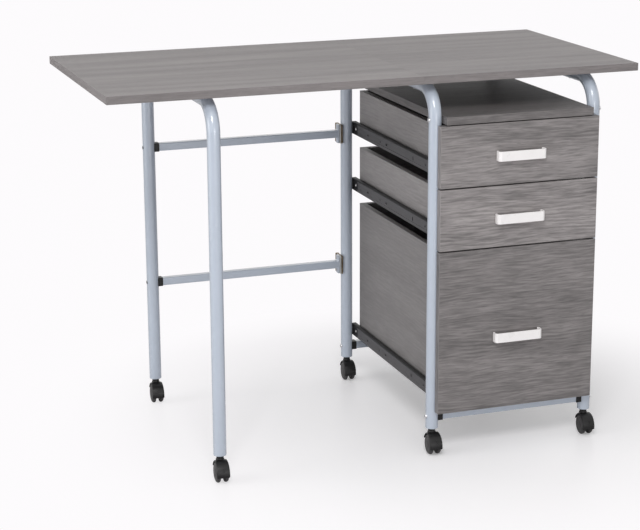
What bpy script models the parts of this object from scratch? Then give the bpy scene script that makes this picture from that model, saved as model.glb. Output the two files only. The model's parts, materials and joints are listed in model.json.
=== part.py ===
"""Folding desk on casters: a drawer pedestal with a wing that swings round its rear left post.

Units are metres, +Z is up, +X runs along the desk towards the pedestal and +Y towards its back.
The origin is on the floor, below the middle of the desk's outer box.
"""

import math

import bmesh
import bpy
from mathutils import Matrix, Vector

# Desktop
TOP_HEIGHT = 0.750
TOP_THICKNESS = 0.015
TOP_DEPTH = 0.500
LEAF_LENGTH = 0.604
FIXED_TOP_LENGTH = 0.449
SEAM_GAP = 0.001
TONGUE_THICKNESS = 0.005
TONGUE_REACH = 0.008
TONGUE_STOP = 0.020
TONGUE_CLEARANCE = 0.0005
GROOVE_ROOM = 0.004

# Bent tube frames
TUBE_DIAMETER = 0.025
TUBE_WALL = 0.0012
BEND_RADIUS = 0.055
BEND_STEPS = 6
POST_INSET = 0.0075
WING_POST_FROM_LEFT = 0.197
POST_SPACING = 0.332
RIGHT_OVERHANG = 0.091
SOCKET_DEPTH = 0.034

# Square tube rails and bars
BAR_SIZE = 0.016
BAR_WALL = 0.0012
LOWER_RAIL_HEIGHT = 0.0757
UPPER_BAR_HEIGHT = 0.551
LOWER_BAR_HEIGHT = 0.263
SADDLE_LENGTH = 0.0075
SADDLE_SIZE = 0.018

# Swing hinges of the wing
HINGE_HEIGHT = 0.040
HINGE_LEAF_DEPTH = 0.024
HINGE_SHEET = 0.002
HINGE_OPENING = 0.0012
BARREL_DIAMETER = 0.008
PIN_DIAMETER = 0.003
PIN_RECESS = 0.001
MIDDLE_KNUCKLE = 0.0128
KNUCKLE_GAP = 0.0005
BAR_PLATE_THICKNESS = 0.003
BAR_PLATE_DEPTH = 0.016

# Pedestal shelf board
SHELF_THICKNESS = 0.015
SHELF_CLEAR_HEIGHT = 0.062
SHELF_SET_BACK = 0.0005

# Drawers
FRONT_THICKNESS = 0.015
FRONT_STANDOFF = 0.001
FRONT_SIDE_INSET = 0.0005
FRONT_GAP = 0.003
FRONT_TOP_GAP = 0.002
FILE_FRONT_BOTTOM = 0.0865
SMALL_FRONT_HEIGHT = 0.1195
BOX_RISE = 0.0125
BOX_TOP_DROP = 0.013
BOX_REAR_SETBACK = 0.0125
BOX_SIDE_THICKNESS = 0.012
BOX_BOTTOM_THICKNESS = 0.005
BOX_BOTTOM_RISE = 0.004

# Drawer slides
SLIDE_OVERREACH = 0.007
RUNNER_SHORTFALL = 0.040
SLIDE_HEIGHT = 0.027
SLIDE_THICKNESS = 0.0127
SLIDE_SHEET = 0.0012
SLIDE_LIP = 0.0095
SLIDE_RISE = 0.0252
RUNNING_GAP = 0.0004

# Drawer pulls
PULL_LENGTH = 0.100
PULL_HEIGHT = 0.019
PULL_PROJECTION = 0.016
PULL_SHEET = 0.003
PULL_CORNER_RADIUS = 0.005
PULL_FOOT = 0.007
PULL_CORNER_STEPS = 4
PULL_SIDE_SHIFT = -0.002
SMALL_PULL_DROP = 0.0025
FILE_PULL_DROP = 0.015

# Twin wheel casters
CASTER_HEIGHT = 0.051
WHEEL_RADIUS = 0.020
WHEEL_WIDTH = 0.0093
WHEEL_DOME = 0.0035
CASTER_WIDTH = 0.0262
CASTER_TRAIL = 0.010
AXLE_RADIUS = 0.003
HUB_RADIUS = 0.007
WEB_THICKNESS = 0.006
HOOD_CLEARANCE = 0.0012
HOOD_SHEET = 0.0024
HOOD_START = math.radians(12)
HOOD_END = math.radians(160)
WEB_INSET = math.radians(4)
NECK_RADIUS = 0.0075
STEM_RADIUS = 0.0055
STEM_LENGTH = 0.030
WHEEL_DOME_STEPS = 2
WHEEL_SEGMENTS = 24
ROUND_SEGMENTS = 16
HOOD_STEPS = 12
# How far the casters are turned
CASTER_YAW = math.radians(-4.5)

# Fits and edges
SEAT_GAP = 0.0003
BOARD_EDGE = 0.0008
CUT_MARGIN = 0.004
WELD_DISTANCE = 1e-6
TUBE_SIDES_RESOLUTION = 4
SHARP_ANGLE = math.radians(35)

# Finishes: colour, roughness, metallic
FINISHES = {
    "grey_oak": ((0.235, 0.222, 0.216, 1.0), 0.55, 0.0),
    "pale_blue_paint": ((0.43, 0.50, 0.58, 1.0), 0.35, 0.2),
    "black_plastic": ((0.022, 0.022, 0.025, 1.0), 0.45, 0.0),
    "black_steel": ((0.030, 0.031, 0.034, 1.0), 0.40, 0.7),
    "zinc_steel": ((0.42, 0.37, 0.20, 1.0), 0.35, 0.9),
    "white_satin": ((0.86, 0.85, 0.84, 1.0), 0.30, 0.0),
}

# Places that follow from the sizes
TUBE_RADIUS = TUBE_DIAMETER / 2
BORE_RADIUS = TUBE_RADIUS - TUBE_WALL
BARREL_RADIUS = BARREL_DIAMETER / 2
PIN_RADIUS = PIN_DIAMETER / 2
DESK_LENGTH = LEAF_LENGTH + SEAM_GAP + FIXED_TOP_LENGTH
LEFT_END = -DESK_LENGTH / 2
RIGHT_END = DESK_LENGTH / 2
LEAF_SEAM = LEFT_END + LEAF_LENGTH
FIXED_SEAM = LEAF_SEAM + SEAM_GAP
WING_X = LEFT_END + WING_POST_FROM_LEFT
RIGHT_POSTS_X = RIGHT_END - RIGHT_OVERHANG
LEFT_POSTS_X = RIGHT_POSTS_X - POST_SPACING
PEDESTAL_X = (LEFT_POSTS_X + RIGHT_POSTS_X) / 2

HINGE_BACK = HINGE_LEAF_DEPTH / 2 + BARREL_RADIUS + KNUCKLE_GAP
FRONT_REACH = TUBE_RADIUS + FRONT_STANDOFF + FRONT_THICKNESS + SEAT_GAP + PULL_PROJECTION - POST_INSET
REAR_REACH = max(HINGE_BACK + BARREL_RADIUS, TUBE_RADIUS) - POST_INSET
TOP_FRONT = -(FRONT_REACH + TOP_DEPTH + REAR_REACH) / 2 + FRONT_REACH
TOP_REAR = TOP_FRONT + TOP_DEPTH
FRONT_POSTS_Y = TOP_FRONT + POST_INSET
REAR_POSTS_Y = TOP_REAR - POST_INSET
POSTS_MIDDLE_Y = (FRONT_POSTS_Y + REAR_POSTS_Y) / 2

TOP_UNDERSIDE = TOP_HEIGHT - TOP_THICKNESS
TUBE_TOP = TOP_UNDERSIDE - SEAT_GAP - TUBE_RADIUS
TUBE_BOTTOM = CASTER_HEIGHT

HINGE_X = LEFT_POSTS_X - TUBE_RADIUS - SEAT_GAP - HINGE_SHEET - HINGE_OPENING / 2
HINGE_Y = REAR_POSTS_Y + HINGE_BACK

FRONT_BACK_Y = FRONT_POSTS_Y - TUBE_RADIUS - FRONT_STANDOFF
FRONT_FACE_Y = FRONT_BACK_Y - FRONT_THICKNESS
FRONT_WIDTH = POST_SPACING - 2 * FRONT_SIDE_INSET
BOX_FRONT_Y = FRONT_BACK_Y + SEAT_GAP
BOX_REAR_Y = REAR_POSTS_Y - BOX_REAR_SETBACK
SLIDE_SEAT = TUBE_RADIUS + SEAT_GAP
SLIDE_LENGTH = REAR_POSTS_Y - FRONT_POSTS_Y + 2 * SLIDE_OVERREACH
RUNNER_LENGTH = SLIDE_LENGTH - RUNNER_SHORTFALL
BOX_HALF_WIDTH = POST_SPACING / 2 - SLIDE_SEAT - SLIDE_THICKNESS - SEAT_GAP

SHELF_BOTTOM = TOP_UNDERSIDE - SHELF_CLEAR_HEIGHT - SHELF_THICKNESS
UPPER_FRONT_BOTTOM = SHELF_BOTTOM - FRONT_TOP_GAP - SMALL_FRONT_HEIGHT
MIDDLE_FRONT_BOTTOM = UPPER_FRONT_BOTTOM - FRONT_GAP - SMALL_FRONT_HEIGHT
FILE_FRONT_HEIGHT = MIDDLE_FRONT_BOTTOM - FRONT_GAP - FILE_FRONT_BOTTOM

# Drawer name: bottom of its front, height of its front, drop of its pull
DRAWERS = {
    "upper": (UPPER_FRONT_BOTTOM, SMALL_FRONT_HEIGHT, SMALL_PULL_DROP),
    "middle": (MIDDLE_FRONT_BOTTOM, SMALL_FRONT_HEIGHT, SMALL_PULL_DROP),
    "file": (FILE_FRONT_BOTTOM, FILE_FRONT_HEIGHT, FILE_PULL_DROP),
}


def clear_scene():
    """Remove everything that a new file starts with."""
    for item in list(bpy.data.objects):
        bpy.data.objects.remove(item, do_unlink=True)


def new_collection(name):
    """Add a collection to the scene."""
    collection = bpy.data.collections.new(name)
    bpy.context.scene.collection.children.link(collection)
    return collection


def new_material(name, colour, roughness, metallic):
    """Make a Principled material."""
    material = bpy.data.materials.new(name)
    material.use_nodes = True
    shader = material.node_tree.nodes["Principled BSDF"]
    shader.inputs["Base Color"].default_value = colour
    shader.inputs["Roughness"].default_value = roughness
    shader.inputs["Metallic"].default_value = metallic
    material.diffuse_color = colour
    return material


class Workshop:
    """The collections and finishes that every piece of the desk uses."""

    def __init__(self):
        self.parts = new_collection("folding_desk")
        self.cutters = new_collection("folding_desk_cutters")
        self.finishes = {name: new_material(name, *values) for name, values in FINISHES.items()}

    def empty(self, name, place, parent=None, yaw=0.0):
        """Add an empty at a world place, to carry the pieces that move with it."""
        carrier = bpy.data.objects.new(name, None)
        carrier.empty_display_size = TUBE_DIAMETER
        self.parts.objects.link(carrier)
        carrier.matrix_world = Matrix.Translation(Vector(place)) @ Matrix.Rotation(yaw, 4, "Z")
        bpy.context.view_layer.update()
        if parent is not None:
            carrier.parent = parent
            carrier.matrix_parent_inverse = parent.matrix_world.inverted()
            bpy.context.view_layer.update()
        return carrier

    def piece(self, name, mesh, carrier, finish, place):
        """Add a mesh as a named piece at a world place, carried by an empty."""
        item = bpy.data.objects.new(name, mesh)
        if not mesh.materials:
            mesh.materials.append(self.finishes[finish])
        self.parts.objects.link(item)
        item.parent = carrier
        item.location = carrier.matrix_world.inverted() @ Vector(place)
        return item

    def cutter(self, name, mesh, place):
        """Add a hidden mesh for a Boolean."""
        item = bpy.data.objects.new(name, mesh)
        item.location = place
        item.hide_render = True
        item.display_type = "WIRE"
        self.cutters.objects.link(item)
        return item


def box_mesh(name, size):
    """A box of the given size about its own centre."""
    shape = bmesh.new()
    bmesh.ops.create_cube(shape, size=1.0)
    bmesh.ops.scale(shape, vec=size, verts=shape.verts)
    mesh = bpy.data.meshes.new(name)
    shape.to_mesh(mesh)
    shape.free()
    return mesh


def rod_mesh(name, radius, length, segments, axis="Z"):
    """A round rod of the given length about its own centre."""
    shape = bmesh.new()
    bmesh.ops.create_cone(
        shape, cap_ends=True, segments=segments, radius1=radius, radius2=radius, depth=length
    )
    if axis == "X":
        bmesh.ops.rotate(shape, matrix=Matrix.Rotation(math.pi / 2, 3, "Y"), verts=shape.verts)
    mesh = bpy.data.meshes.new(name)
    shape.to_mesh(mesh)
    shape.free()
    return mesh


def twin_rods_mesh(name, radius, length, offset):
    """Two round rods along X in one mesh, each with its middle at an offset along X."""
    shape = bmesh.new()
    turn = Matrix.Rotation(math.pi / 2, 4, "Y")
    for side in (-1, 1):
        place = Matrix.Translation((side * offset, 0.0, 0.0)) @ turn
        bmesh.ops.create_cone(
            shape, cap_ends=True, segments=WHEEL_SEGMENTS, radius1=radius, radius2=radius,
            depth=length, matrix=place,
        )
    mesh = bpy.data.meshes.new(name)
    shape.to_mesh(mesh)
    shape.free()
    return mesh


def arc_points(centre, radius, start, end, steps):
    """Points along an arc in a plane, ends included."""
    angles = [start + (end - start) * step / steps for step in range(steps + 1)]
    return [(centre[0] + radius * math.cos(a), centre[1] + radius * math.sin(a)) for a in angles]


def evaluated_mesh(item, name):
    """The mesh that an object shows, with loose caps welded."""
    graph = bpy.context.evaluated_depsgraph_get()
    mesh = bpy.data.meshes.new_from_object(item.evaluated_get(graph))
    mesh.name = name
    shape = bmesh.new()
    shape.from_mesh(mesh)
    bmesh.ops.remove_doubles(shape, verts=shape.verts, dist=WELD_DISTANCE)
    shape.to_mesh(mesh)
    shape.free()
    return mesh


def curve_mesh(name, curve, turn=None):
    """Turn a curve into a mesh, turned by a matrix if one is given, and drop the curve."""
    item = bpy.data.objects.new(name, curve)
    bpy.context.scene.collection.objects.link(item)
    bpy.context.view_layer.update()
    mesh = evaluated_mesh(item, name)
    bpy.data.objects.remove(item, do_unlink=True)
    if turn is not None:
        mesh.transform(turn)
    return mesh


def spline_curve(name, points, dimensions, cyclic):
    """A curve with one POLY spline through the points."""
    curve = bpy.data.curves.new(name, "CURVE")
    curve.dimensions = dimensions
    spline = curve.splines.new("POLY")
    spline.points.add(len(points) - 1)
    for target, point in zip(spline.points, points):
        target.co = (*point, 1.0)
    spline.use_cyclic_u = cyclic
    return curve


def tube_mesh(name, points, radius):
    """A round rod along a path, with closed ends."""
    curve = spline_curve(name, points, "3D", False)
    curve.bevel_depth = radius
    curve.bevel_resolution = TUBE_SIDES_RESOLUTION
    curve.use_fill_caps = True
    return curve_mesh(name, curve)


def outline_mesh(name, outline, thickness, turn):
    """A flat outline given a thickness and turned into place."""
    curve = spline_curve(name, [(x, y, 0.0) for x, y in outline], "2D", True)
    curve.fill_mode = "BOTH"
    curve.extrude = thickness / 2
    return curve_mesh(name, curve, turn)


# Outline (x, y) to world (x, z), with the thickness along Y
OUTLINE_TO_XZ = Matrix.Rotation(math.pi / 2, 4, "X")
# Outline (x, y) to world (y, z), with the thickness along X
OUTLINE_TO_YZ = Matrix.Rotation(math.pi / 2, 4, "Z") @ Matrix.Rotation(math.pi / 2, 4, "X")


def add_boolean(item, other, operation):
    """Cut another object from a piece, or join it to the piece."""
    modifier = item.modifiers.new(operation.title() + "_" + other.name, "BOOLEAN")
    modifier.operation = operation
    modifier.object = other


def round_edges(item):
    """Take the sharpness off a board's edges."""
    modifier = item.modifiers.new("Edges", "BEVEL")
    modifier.width = BOARD_EDGE
    modifier.segments = 1
    modifier.limit_method = "ANGLE"


def shade_round(item):
    """Shade a round piece smooth, up to its sharp edges."""
    item.data.shade_smooth()
    item.data.set_sharp_from_angle(angle=SHARP_ANGLE)


def add_board(workshop, name, low, high, carrier, finish="grey_oak"):
    """Add a board between two corners, with its edges rounded."""
    size = [top - bottom for bottom, top in zip(low, high)]
    middle = [(top + bottom) / 2 for bottom, top in zip(low, high)]
    board = workshop.piece(name, box_mesh(name, size), carrier, finish, middle)
    round_edges(board)
    return board


def frame_path(bottom, bend):
    """Up the front post, back under the desktop and down the rear post, about the posts' middle."""
    half = (REAR_POSTS_Y - FRONT_POSTS_Y) / 2
    front = arc_points((-half + bend, TUBE_TOP - bend), bend, math.pi, math.pi / 2, BEND_STEPS)
    rear = arc_points((half - bend, TUBE_TOP - bend), bend, math.pi / 2, 0.0, BEND_STEPS)
    path = [(-half, bottom)] + front + rear + [(half, bottom)]
    return [(0.0, y, z) for y, z in path]


def add_post_frame(workshop, name, x, carrier):
    """Add a bent tube frame: hollow, with a socket for a caster stem in each foot."""
    place = (x, POSTS_MIDDLE_Y, 0.0)
    tube = tube_mesh(name, frame_path(TUBE_BOTTOM, BEND_RADIUS), TUBE_RADIUS)
    frame = workshop.piece(name, tube, carrier, "pale_blue_paint", place)
    bore = tube_mesh(name + "_bore", frame_path(TUBE_BOTTOM + SOCKET_DEPTH, BEND_RADIUS), BORE_RADIUS)
    add_boolean(frame, workshop.cutter(name + "_bore", bore, place), "DIFFERENCE")
    for end, y in (("front", FRONT_POSTS_Y), ("rear", REAR_POSTS_Y)):
        hole_name = name + "_" + end + "_socket"
        hole = rod_mesh(hole_name, STEM_RADIUS + SEAT_GAP, SOCKET_DEPTH + 2 * CUT_MARGIN, ROUND_SEGMENTS)
        hole_place = (x, y, TUBE_BOTTOM + SOCKET_DEPTH / 2)
        add_boolean(frame, workshop.cutter(hole_name, hole, hole_place), "DIFFERENCE")
    shade_round(frame)
    return frame


def add_square_tube(workshop, name, left, right, y, z, carrier, bore_left, bore_right):
    """Add a square tube along X, with its bore between two places."""
    middle = (left + right) / 2
    tube = box_mesh(name, (right - left, BAR_SIZE, BAR_SIZE))
    bar = workshop.piece(name, tube, carrier, "pale_blue_paint", (middle, y, z))
    round_edges(bar)
    inner = BAR_SIZE - 2 * BAR_WALL
    bore = box_mesh(name + "_bore", (bore_right - bore_left, inner, inner))
    bore_place = ((bore_left + bore_right) / 2, y, z)
    add_boolean(bar, workshop.cutter(name + "_bore", bore, bore_place), "DIFFERENCE")
    return bar


def add_saddle(workshop, name, post_x, y, z, side, carrier):
    """Add the plastic saddle that seats a square tube's end on a round post."""
    near = post_x + side * (TUBE_RADIUS * math.cos(math.asin(SADDLE_SIZE / TUBE_DIAMETER)))
    far = post_x + side * (TUBE_RADIUS + SADDLE_LENGTH)
    block = box_mesh(name, (abs(far - near), SADDLE_SIZE, SADDLE_SIZE))
    saddle = workshop.piece(name, block, carrier, "black_plastic", ((near + far) / 2, y, z))
    round_edges(saddle)
    hollow_length = SADDLE_SIZE + 2 * CUT_MARGIN
    hollow = rod_mesh(name + "_hollow", TUBE_RADIUS + SEAT_GAP, hollow_length, WHEEL_SEGMENTS)
    add_boolean(saddle, workshop.cutter(name + "_hollow", hollow, (post_x, y, z)), "DIFFERENCE")
    return saddle


def add_desktop(workshop, root, wing):
    """Add the fixed top with its tongue and the swinging leaf with its groove."""
    fixed = add_board(
        workshop, "fixed_top",
        (FIXED_SEAM, TOP_FRONT, TOP_UNDERSIDE), (RIGHT_END, TOP_REAR, TOP_HEIGHT), root,
    )
    leaf = add_board(
        workshop, "leaf_top",
        (LEFT_END, TOP_FRONT, TOP_UNDERSIDE), (LEAF_SEAM, TOP_REAR, TOP_HEIGHT), wing,
    )
    tongue_length = TOP_DEPTH - 2 * TONGUE_STOP
    middle_y = (TOP_FRONT + TOP_REAR) / 2
    middle_z = TOP_HEIGHT - TOP_THICKNESS / 2
    tongue_back = FIXED_SEAM + CUT_MARGIN
    tongue_tip = FIXED_SEAM - TONGUE_REACH
    tongue = box_mesh("tongue", (tongue_back - tongue_tip, tongue_length, TONGUE_THICKNESS))
    tongue_place = ((tongue_back + tongue_tip) / 2, middle_y, middle_z)
    add_boolean(fixed, workshop.cutter("tongue", tongue, tongue_place), "UNION")
    groove_back = LEAF_SEAM + CUT_MARGIN
    groove_end = tongue_tip - TONGUE_CLEARANCE
    groove_height = TONGUE_THICKNESS + 2 * TONGUE_CLEARANCE
    groove_length = tongue_length + 2 * GROOVE_ROOM
    groove = box_mesh("groove", (groove_back - groove_end, groove_length, groove_height))
    groove_place = ((groove_back + groove_end) / 2, middle_y, middle_z)
    add_boolean(leaf, workshop.cutter("groove", groove, groove_place), "DIFFERENCE")


def add_pedestal(workshop, root):
    """Add the two post frames, the rails and the shelf board between them."""
    add_post_frame(workshop, "left_post_frame", LEFT_POSTS_X, root)
    add_post_frame(workshop, "right_post_frame", RIGHT_POSTS_X, root)
    post_face = TUBE_RADIUS + SEAT_GAP
    saddle_face = TUBE_RADIUS + SADDLE_LENGTH + SEAT_GAP
    rails = {
        "front_bottom_rail": (FRONT_POSTS_Y, saddle_face),
        "rear_bottom_rail": (REAR_POSTS_Y, post_face),
    }
    for name, (y, reach) in rails.items():
        left = LEFT_POSTS_X + reach
        right = RIGHT_POSTS_X - reach
        bore = (left - CUT_MARGIN, right + CUT_MARGIN)
        add_square_tube(workshop, name, left, right, y, LOWER_RAIL_HEIGHT, root, *bore)
    for side, x, direction in (("left", LEFT_POSTS_X, 1), ("right", RIGHT_POSTS_X, -1)):
        name = "front_rail_" + side + "_saddle"
        add_saddle(workshop, name, x, FRONT_POSTS_Y, LOWER_RAIL_HEIGHT, direction, root)
    low = (LEFT_POSTS_X + post_face, FRONT_FACE_Y + SHELF_SET_BACK, SHELF_BOTTOM)
    high = (RIGHT_POSTS_X - post_face, REAR_POSTS_Y + TUBE_RADIUS, SHELF_BOTTOM + SHELF_THICKNESS)
    add_board(workshop, "shelf_board", low, high, root)


def hinge_leaf(workshop, name, z, side, knuckles, carrier, pinned):
    """Add one leaf of a swing hinge: its plate, its knuckles and, on the post side, the pin.

    side is 1 for the leaf on the post and -1 for the leaf on the bar. knuckles lists the
    bottom and top of each knuckle above the hinge's middle.
    """
    plate_middle = side * (HINGE_OPENING + HINGE_SHEET) / 2
    plate_front = -BARREL_RADIUS - KNUCKLE_GAP - HINGE_LEAF_DEPTH
    plate = box_mesh(name, (HINGE_SHEET, HINGE_LEAF_DEPTH, HINGE_HEIGHT))
    plate.transform(Matrix.Translation((plate_middle, plate_front + HINGE_LEAF_DEPTH / 2, 0.0)))
    place = (HINGE_X, HINGE_Y, z)
    leaf = workshop.piece(name, plate, carrier, "zinc_steel", place)
    tail = BARREL_RADIUS + KNUCKLE_GAP + CUT_MARGIN
    for index, (low, high) in enumerate(knuckles):
        tag = name + "_" + str(index)
        strap = box_mesh(tag + "_strap", (HINGE_SHEET, tail, high - low))
        strap.transform(Matrix.Translation((plate_middle, -tail / 2, (low + high) / 2)))
        barrel = rod_mesh(tag + "_barrel", BARREL_RADIUS, high - low, ROUND_SEGMENTS)
        barrel.transform(Matrix.Translation((0.0, 0.0, (low + high) / 2)))
        add_boolean(leaf, workshop.cutter(tag + "_strap", strap, place), "UNION")
        add_boolean(leaf, workshop.cutter(tag + "_barrel", barrel, place), "UNION")
    pin_radius = PIN_RADIUS if pinned else PIN_RADIUS + SEAT_GAP
    pin_length = HINGE_HEIGHT - 2 * PIN_RECESS if pinned else HINGE_HEIGHT + 2 * CUT_MARGIN
    pin = rod_mesh(name + "_pin", pin_radius, pin_length, ROUND_SEGMENTS)
    add_boolean(leaf, workshop.cutter(name + "_pin", pin, place), "UNION" if pinned else "DIFFERENCE")
    return leaf


def add_wing_hinges(workshop, root, wing):
    """Add the two hinges that carry the wing on the rear left post."""
    half = HINGE_HEIGHT / 2
    split = MIDDLE_KNUCKLE / 2
    outer = [(-half, -split - KNUCKLE_GAP), (split + KNUCKLE_GAP, half)]
    inner = [(-split, split)]
    for level, z in (("upper", UPPER_BAR_HEIGHT), ("lower", LOWER_BAR_HEIGHT)):
        hinge_leaf(workshop, level + "_hinge_post_leaf", z, 1, outer, root, True)
        hinge_leaf(workshop, level + "_hinge_bar_leaf", z, -1, inner, wing, False)


def add_wing(workshop, wing):
    """Add the wing's leg frame and the two bars that tie it to the hinges."""
    add_post_frame(workshop, "wing_frame", WING_X, wing)
    plate_face = HINGE_X - HINGE_OPENING / 2 - HINGE_SHEET - SEAT_GAP
    plate_middle = plate_face - BAR_PLATE_THICKNESS / 2
    left = WING_X + TUBE_RADIUS + SADDLE_LENGTH + SEAT_GAP
    bore = (left - CUT_MARGIN, plate_face - BAR_PLATE_THICKNESS)
    for level, z in (("upper", UPPER_BAR_HEIGHT), ("lower", LOWER_BAR_HEIGHT)):
        name = "wing_" + level + "_bar"
        bar = add_square_tube(workshop, name, left, plate_middle, REAR_POSTS_Y, z, wing, *bore)
        plate = box_mesh(name + "_plate", (BAR_PLATE_THICKNESS, BAR_PLATE_DEPTH, HINGE_HEIGHT))
        plate_cutter = workshop.cutter(name + "_plate", plate, (plate_middle, REAR_POSTS_Y, z))
        add_boolean(bar, plate_cutter, "UNION")
        add_saddle(workshop, name + "_saddle", WING_X, REAR_POSTS_Y, z, 1, wing)


def channel_outline(back, lip, height, sheet):
    """The section of a C channel: its back stands at x = 0 and its lips point along back's sign."""
    half = height / 2
    inner = half - sheet
    outline = [(0, -half), (lip, -half), (lip, -inner), (sheet, -inner)]
    outline += [(sheet, inner), (lip, inner), (lip, half), (0, half)]
    return [(back * x, z) for x, z in outline]


def add_slides(workshop, drawer, bottom, root, carrier):
    """Add a drawer's two slides: the rail on the posts and the runner on the drawer's side."""
    z = bottom + SLIDE_RISE
    runner_height = SLIDE_HEIGHT - 2 * SLIDE_SHEET - 2 * RUNNING_GAP
    runner_middle_y = POSTS_MIDDLE_Y - SLIDE_LENGTH / 2 + RUNNER_LENGTH / 2
    for side, post_x, inward in (("left", LEFT_POSTS_X, 1), ("right", RIGHT_POSTS_X, -1)):
        rail_name = drawer + "_drawer_" + side + "_rail"
        rail_outline = channel_outline(inward, SLIDE_LIP, SLIDE_HEIGHT, SLIDE_SHEET)
        rail = outline_mesh(rail_name, rail_outline, SLIDE_LENGTH, OUTLINE_TO_XZ)
        rail_x = post_x + inward * SLIDE_SEAT
        workshop.piece(rail_name, rail, root, "black_steel", (rail_x, POSTS_MIDDLE_Y, z))
        runner_name = drawer + "_drawer_" + side + "_runner"
        runner_outline = channel_outline(-inward, SLIDE_LIP, runner_height, SLIDE_SHEET)
        runner = outline_mesh(runner_name, runner_outline, RUNNER_LENGTH, OUTLINE_TO_XZ)
        runner_x = rail_x + inward * SLIDE_THICKNESS
        workshop.piece(runner_name, runner, carrier, "black_steel", (runner_x, runner_middle_y, z))


def pull_path():
    """Half of a pull's outer line in plan: its foot, its return, its corner and its grip."""
    half = PULL_LENGTH / 2
    corner = (half - PULL_CORNER_RADIUS, -PULL_PROJECTION + PULL_CORNER_RADIUS)
    turn = arc_points(corner, PULL_CORNER_RADIUS, 0.0, -math.pi / 2, PULL_CORNER_STEPS)
    return [(half, 0.0)] + turn


def pull_mesh(name):
    """A bow pull bent from flat strip, with its ends returned to the drawer front."""
    outer = pull_path()
    outline = outer + [(-x, y) for x, y in reversed(outer)]
    inner_half = PULL_LENGTH / 2 - PULL_SHEET
    inner_front = -PULL_PROJECTION + PULL_SHEET
    inner_radius = PULL_CORNER_RADIUS - PULL_SHEET
    centre = (inner_half - inner_radius, inner_front + inner_radius)
    inner = arc_points(centre, inner_radius, 0.0, -math.pi / 2, PULL_CORNER_STEPS)
    foot = [(inner_half - PULL_FOOT, 0.0), (inner_half - PULL_FOOT, -PULL_SHEET), (inner_half, -PULL_SHEET)]
    inner = foot + inner
    outline += [(-x, y) for x, y in inner]
    outline += list(reversed(inner))
    return outline_mesh(name, outline, PULL_HEIGHT, Matrix.Identity(4))


def add_drawer(workshop, name, bottom, front_height, pull_drop, root):
    """Add one drawer: its front, pull, box boards and slides."""
    middle_z = bottom + front_height / 2
    carrier = workshop.empty(name + "_drawer", (PEDESTAL_X, FRONT_FACE_Y, middle_z), root)
    prefix = name + "_drawer_"
    half_front = FRONT_WIDTH / 2
    add_board(
        workshop, prefix + "front",
        (PEDESTAL_X - half_front, FRONT_FACE_Y, bottom),
        (PEDESTAL_X + half_front, FRONT_BACK_Y, bottom + front_height), carrier,
    )
    pull_place = (PEDESTAL_X + PULL_SIDE_SHIFT, FRONT_FACE_Y - SEAT_GAP, middle_z - pull_drop)
    workshop.piece(prefix + "pull", pull_mesh(prefix + "pull"), carrier, "white_satin", pull_place)
    box_low = bottom + BOX_RISE
    box_high = bottom + front_height - BOX_TOP_DROP
    inner_half = BOX_HALF_WIDTH - BOX_SIDE_THICKNESS
    for side, direction in (("left", -1), ("right", 1)):
        edges = sorted((PEDESTAL_X + direction * BOX_HALF_WIDTH, PEDESTAL_X + direction * inner_half))
        add_board(
            workshop, prefix + side + "_side",
            (edges[0], BOX_FRONT_Y, box_low), (edges[1], BOX_REAR_Y, box_high), carrier,
        )
    fit = inner_half - SEAT_GAP
    add_board(
        workshop, prefix + "back",
        (PEDESTAL_X - fit, BOX_REAR_Y - BOX_SIDE_THICKNESS, box_low),
        (PEDESTAL_X + fit, BOX_REAR_Y, box_high), carrier,
    )
    floor_low = box_low + BOX_BOTTOM_RISE
    floor_back = BOX_REAR_Y - BOX_SIDE_THICKNESS - SEAT_GAP
    add_board(
        workshop, prefix + "bottom",
        (PEDESTAL_X - fit, BOX_FRONT_Y, floor_low),
        (PEDESTAL_X + fit, floor_back, floor_low + BOX_BOTTOM_THICKNESS), carrier,
    )
    add_slides(workshop, name, bottom, root, carrier)


def wheel_profile():
    """Half of the wheel pair's section, from the axle out over one domed wheel: (radius, offset)."""
    outer_face = CASTER_WIDTH / 2
    inner_face = outer_face - WHEEL_WIDTH
    shoulder = WHEEL_RADIUS - WHEEL_DOME
    dome_centre = (shoulder, outer_face - WHEEL_DOME)
    tread = arc_points(dome_centre, WHEEL_DOME, 0.0, math.pi / 2, WHEEL_DOME_STEPS)
    rim = [(HUB_RADIUS, inner_face), (WHEEL_RADIUS, inner_face)]
    face = [(HUB_RADIUS, outer_face), (AXLE_RADIUS, outer_face)]
    return [(AXLE_RADIUS, inner_face)] + rim + tread + face


def wheels_mesh():
    """The two wheels of a caster on their axle, turned about X."""
    half = wheel_profile()
    section = [(0.0, CASTER_WIDTH / 2)]
    section += list(reversed(half))
    section += [(radius, -offset) for radius, offset in half]
    section += [(0.0, -CASTER_WIDTH / 2)]
    shape = bmesh.new()
    verts = [shape.verts.new((radius, 0.0, offset)) for radius, offset in section]
    for first, second in zip(verts, verts[1:]):
        shape.edges.new((first, second))
    profile = bpy.data.meshes.new("wheel_profile")
    shape.to_mesh(profile)
    shape.free()
    turned = bpy.data.objects.new("wheel_profile", profile)
    bpy.context.scene.collection.objects.link(turned)
    screw = turned.modifiers.new("Turn", "SCREW")
    screw.steps = WHEEL_SEGMENTS
    screw.render_steps = WHEEL_SEGMENTS
    screw.use_merge_vertices = True
    screw.merge_threshold = WELD_DISTANCE
    bpy.context.view_layer.update()
    mesh = evaluated_mesh(turned, "caster_wheels")
    bpy.data.objects.remove(turned, do_unlink=True)
    mesh.transform(Matrix.Rotation(math.pi / 2, 4, "Y"))
    return mesh


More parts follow.
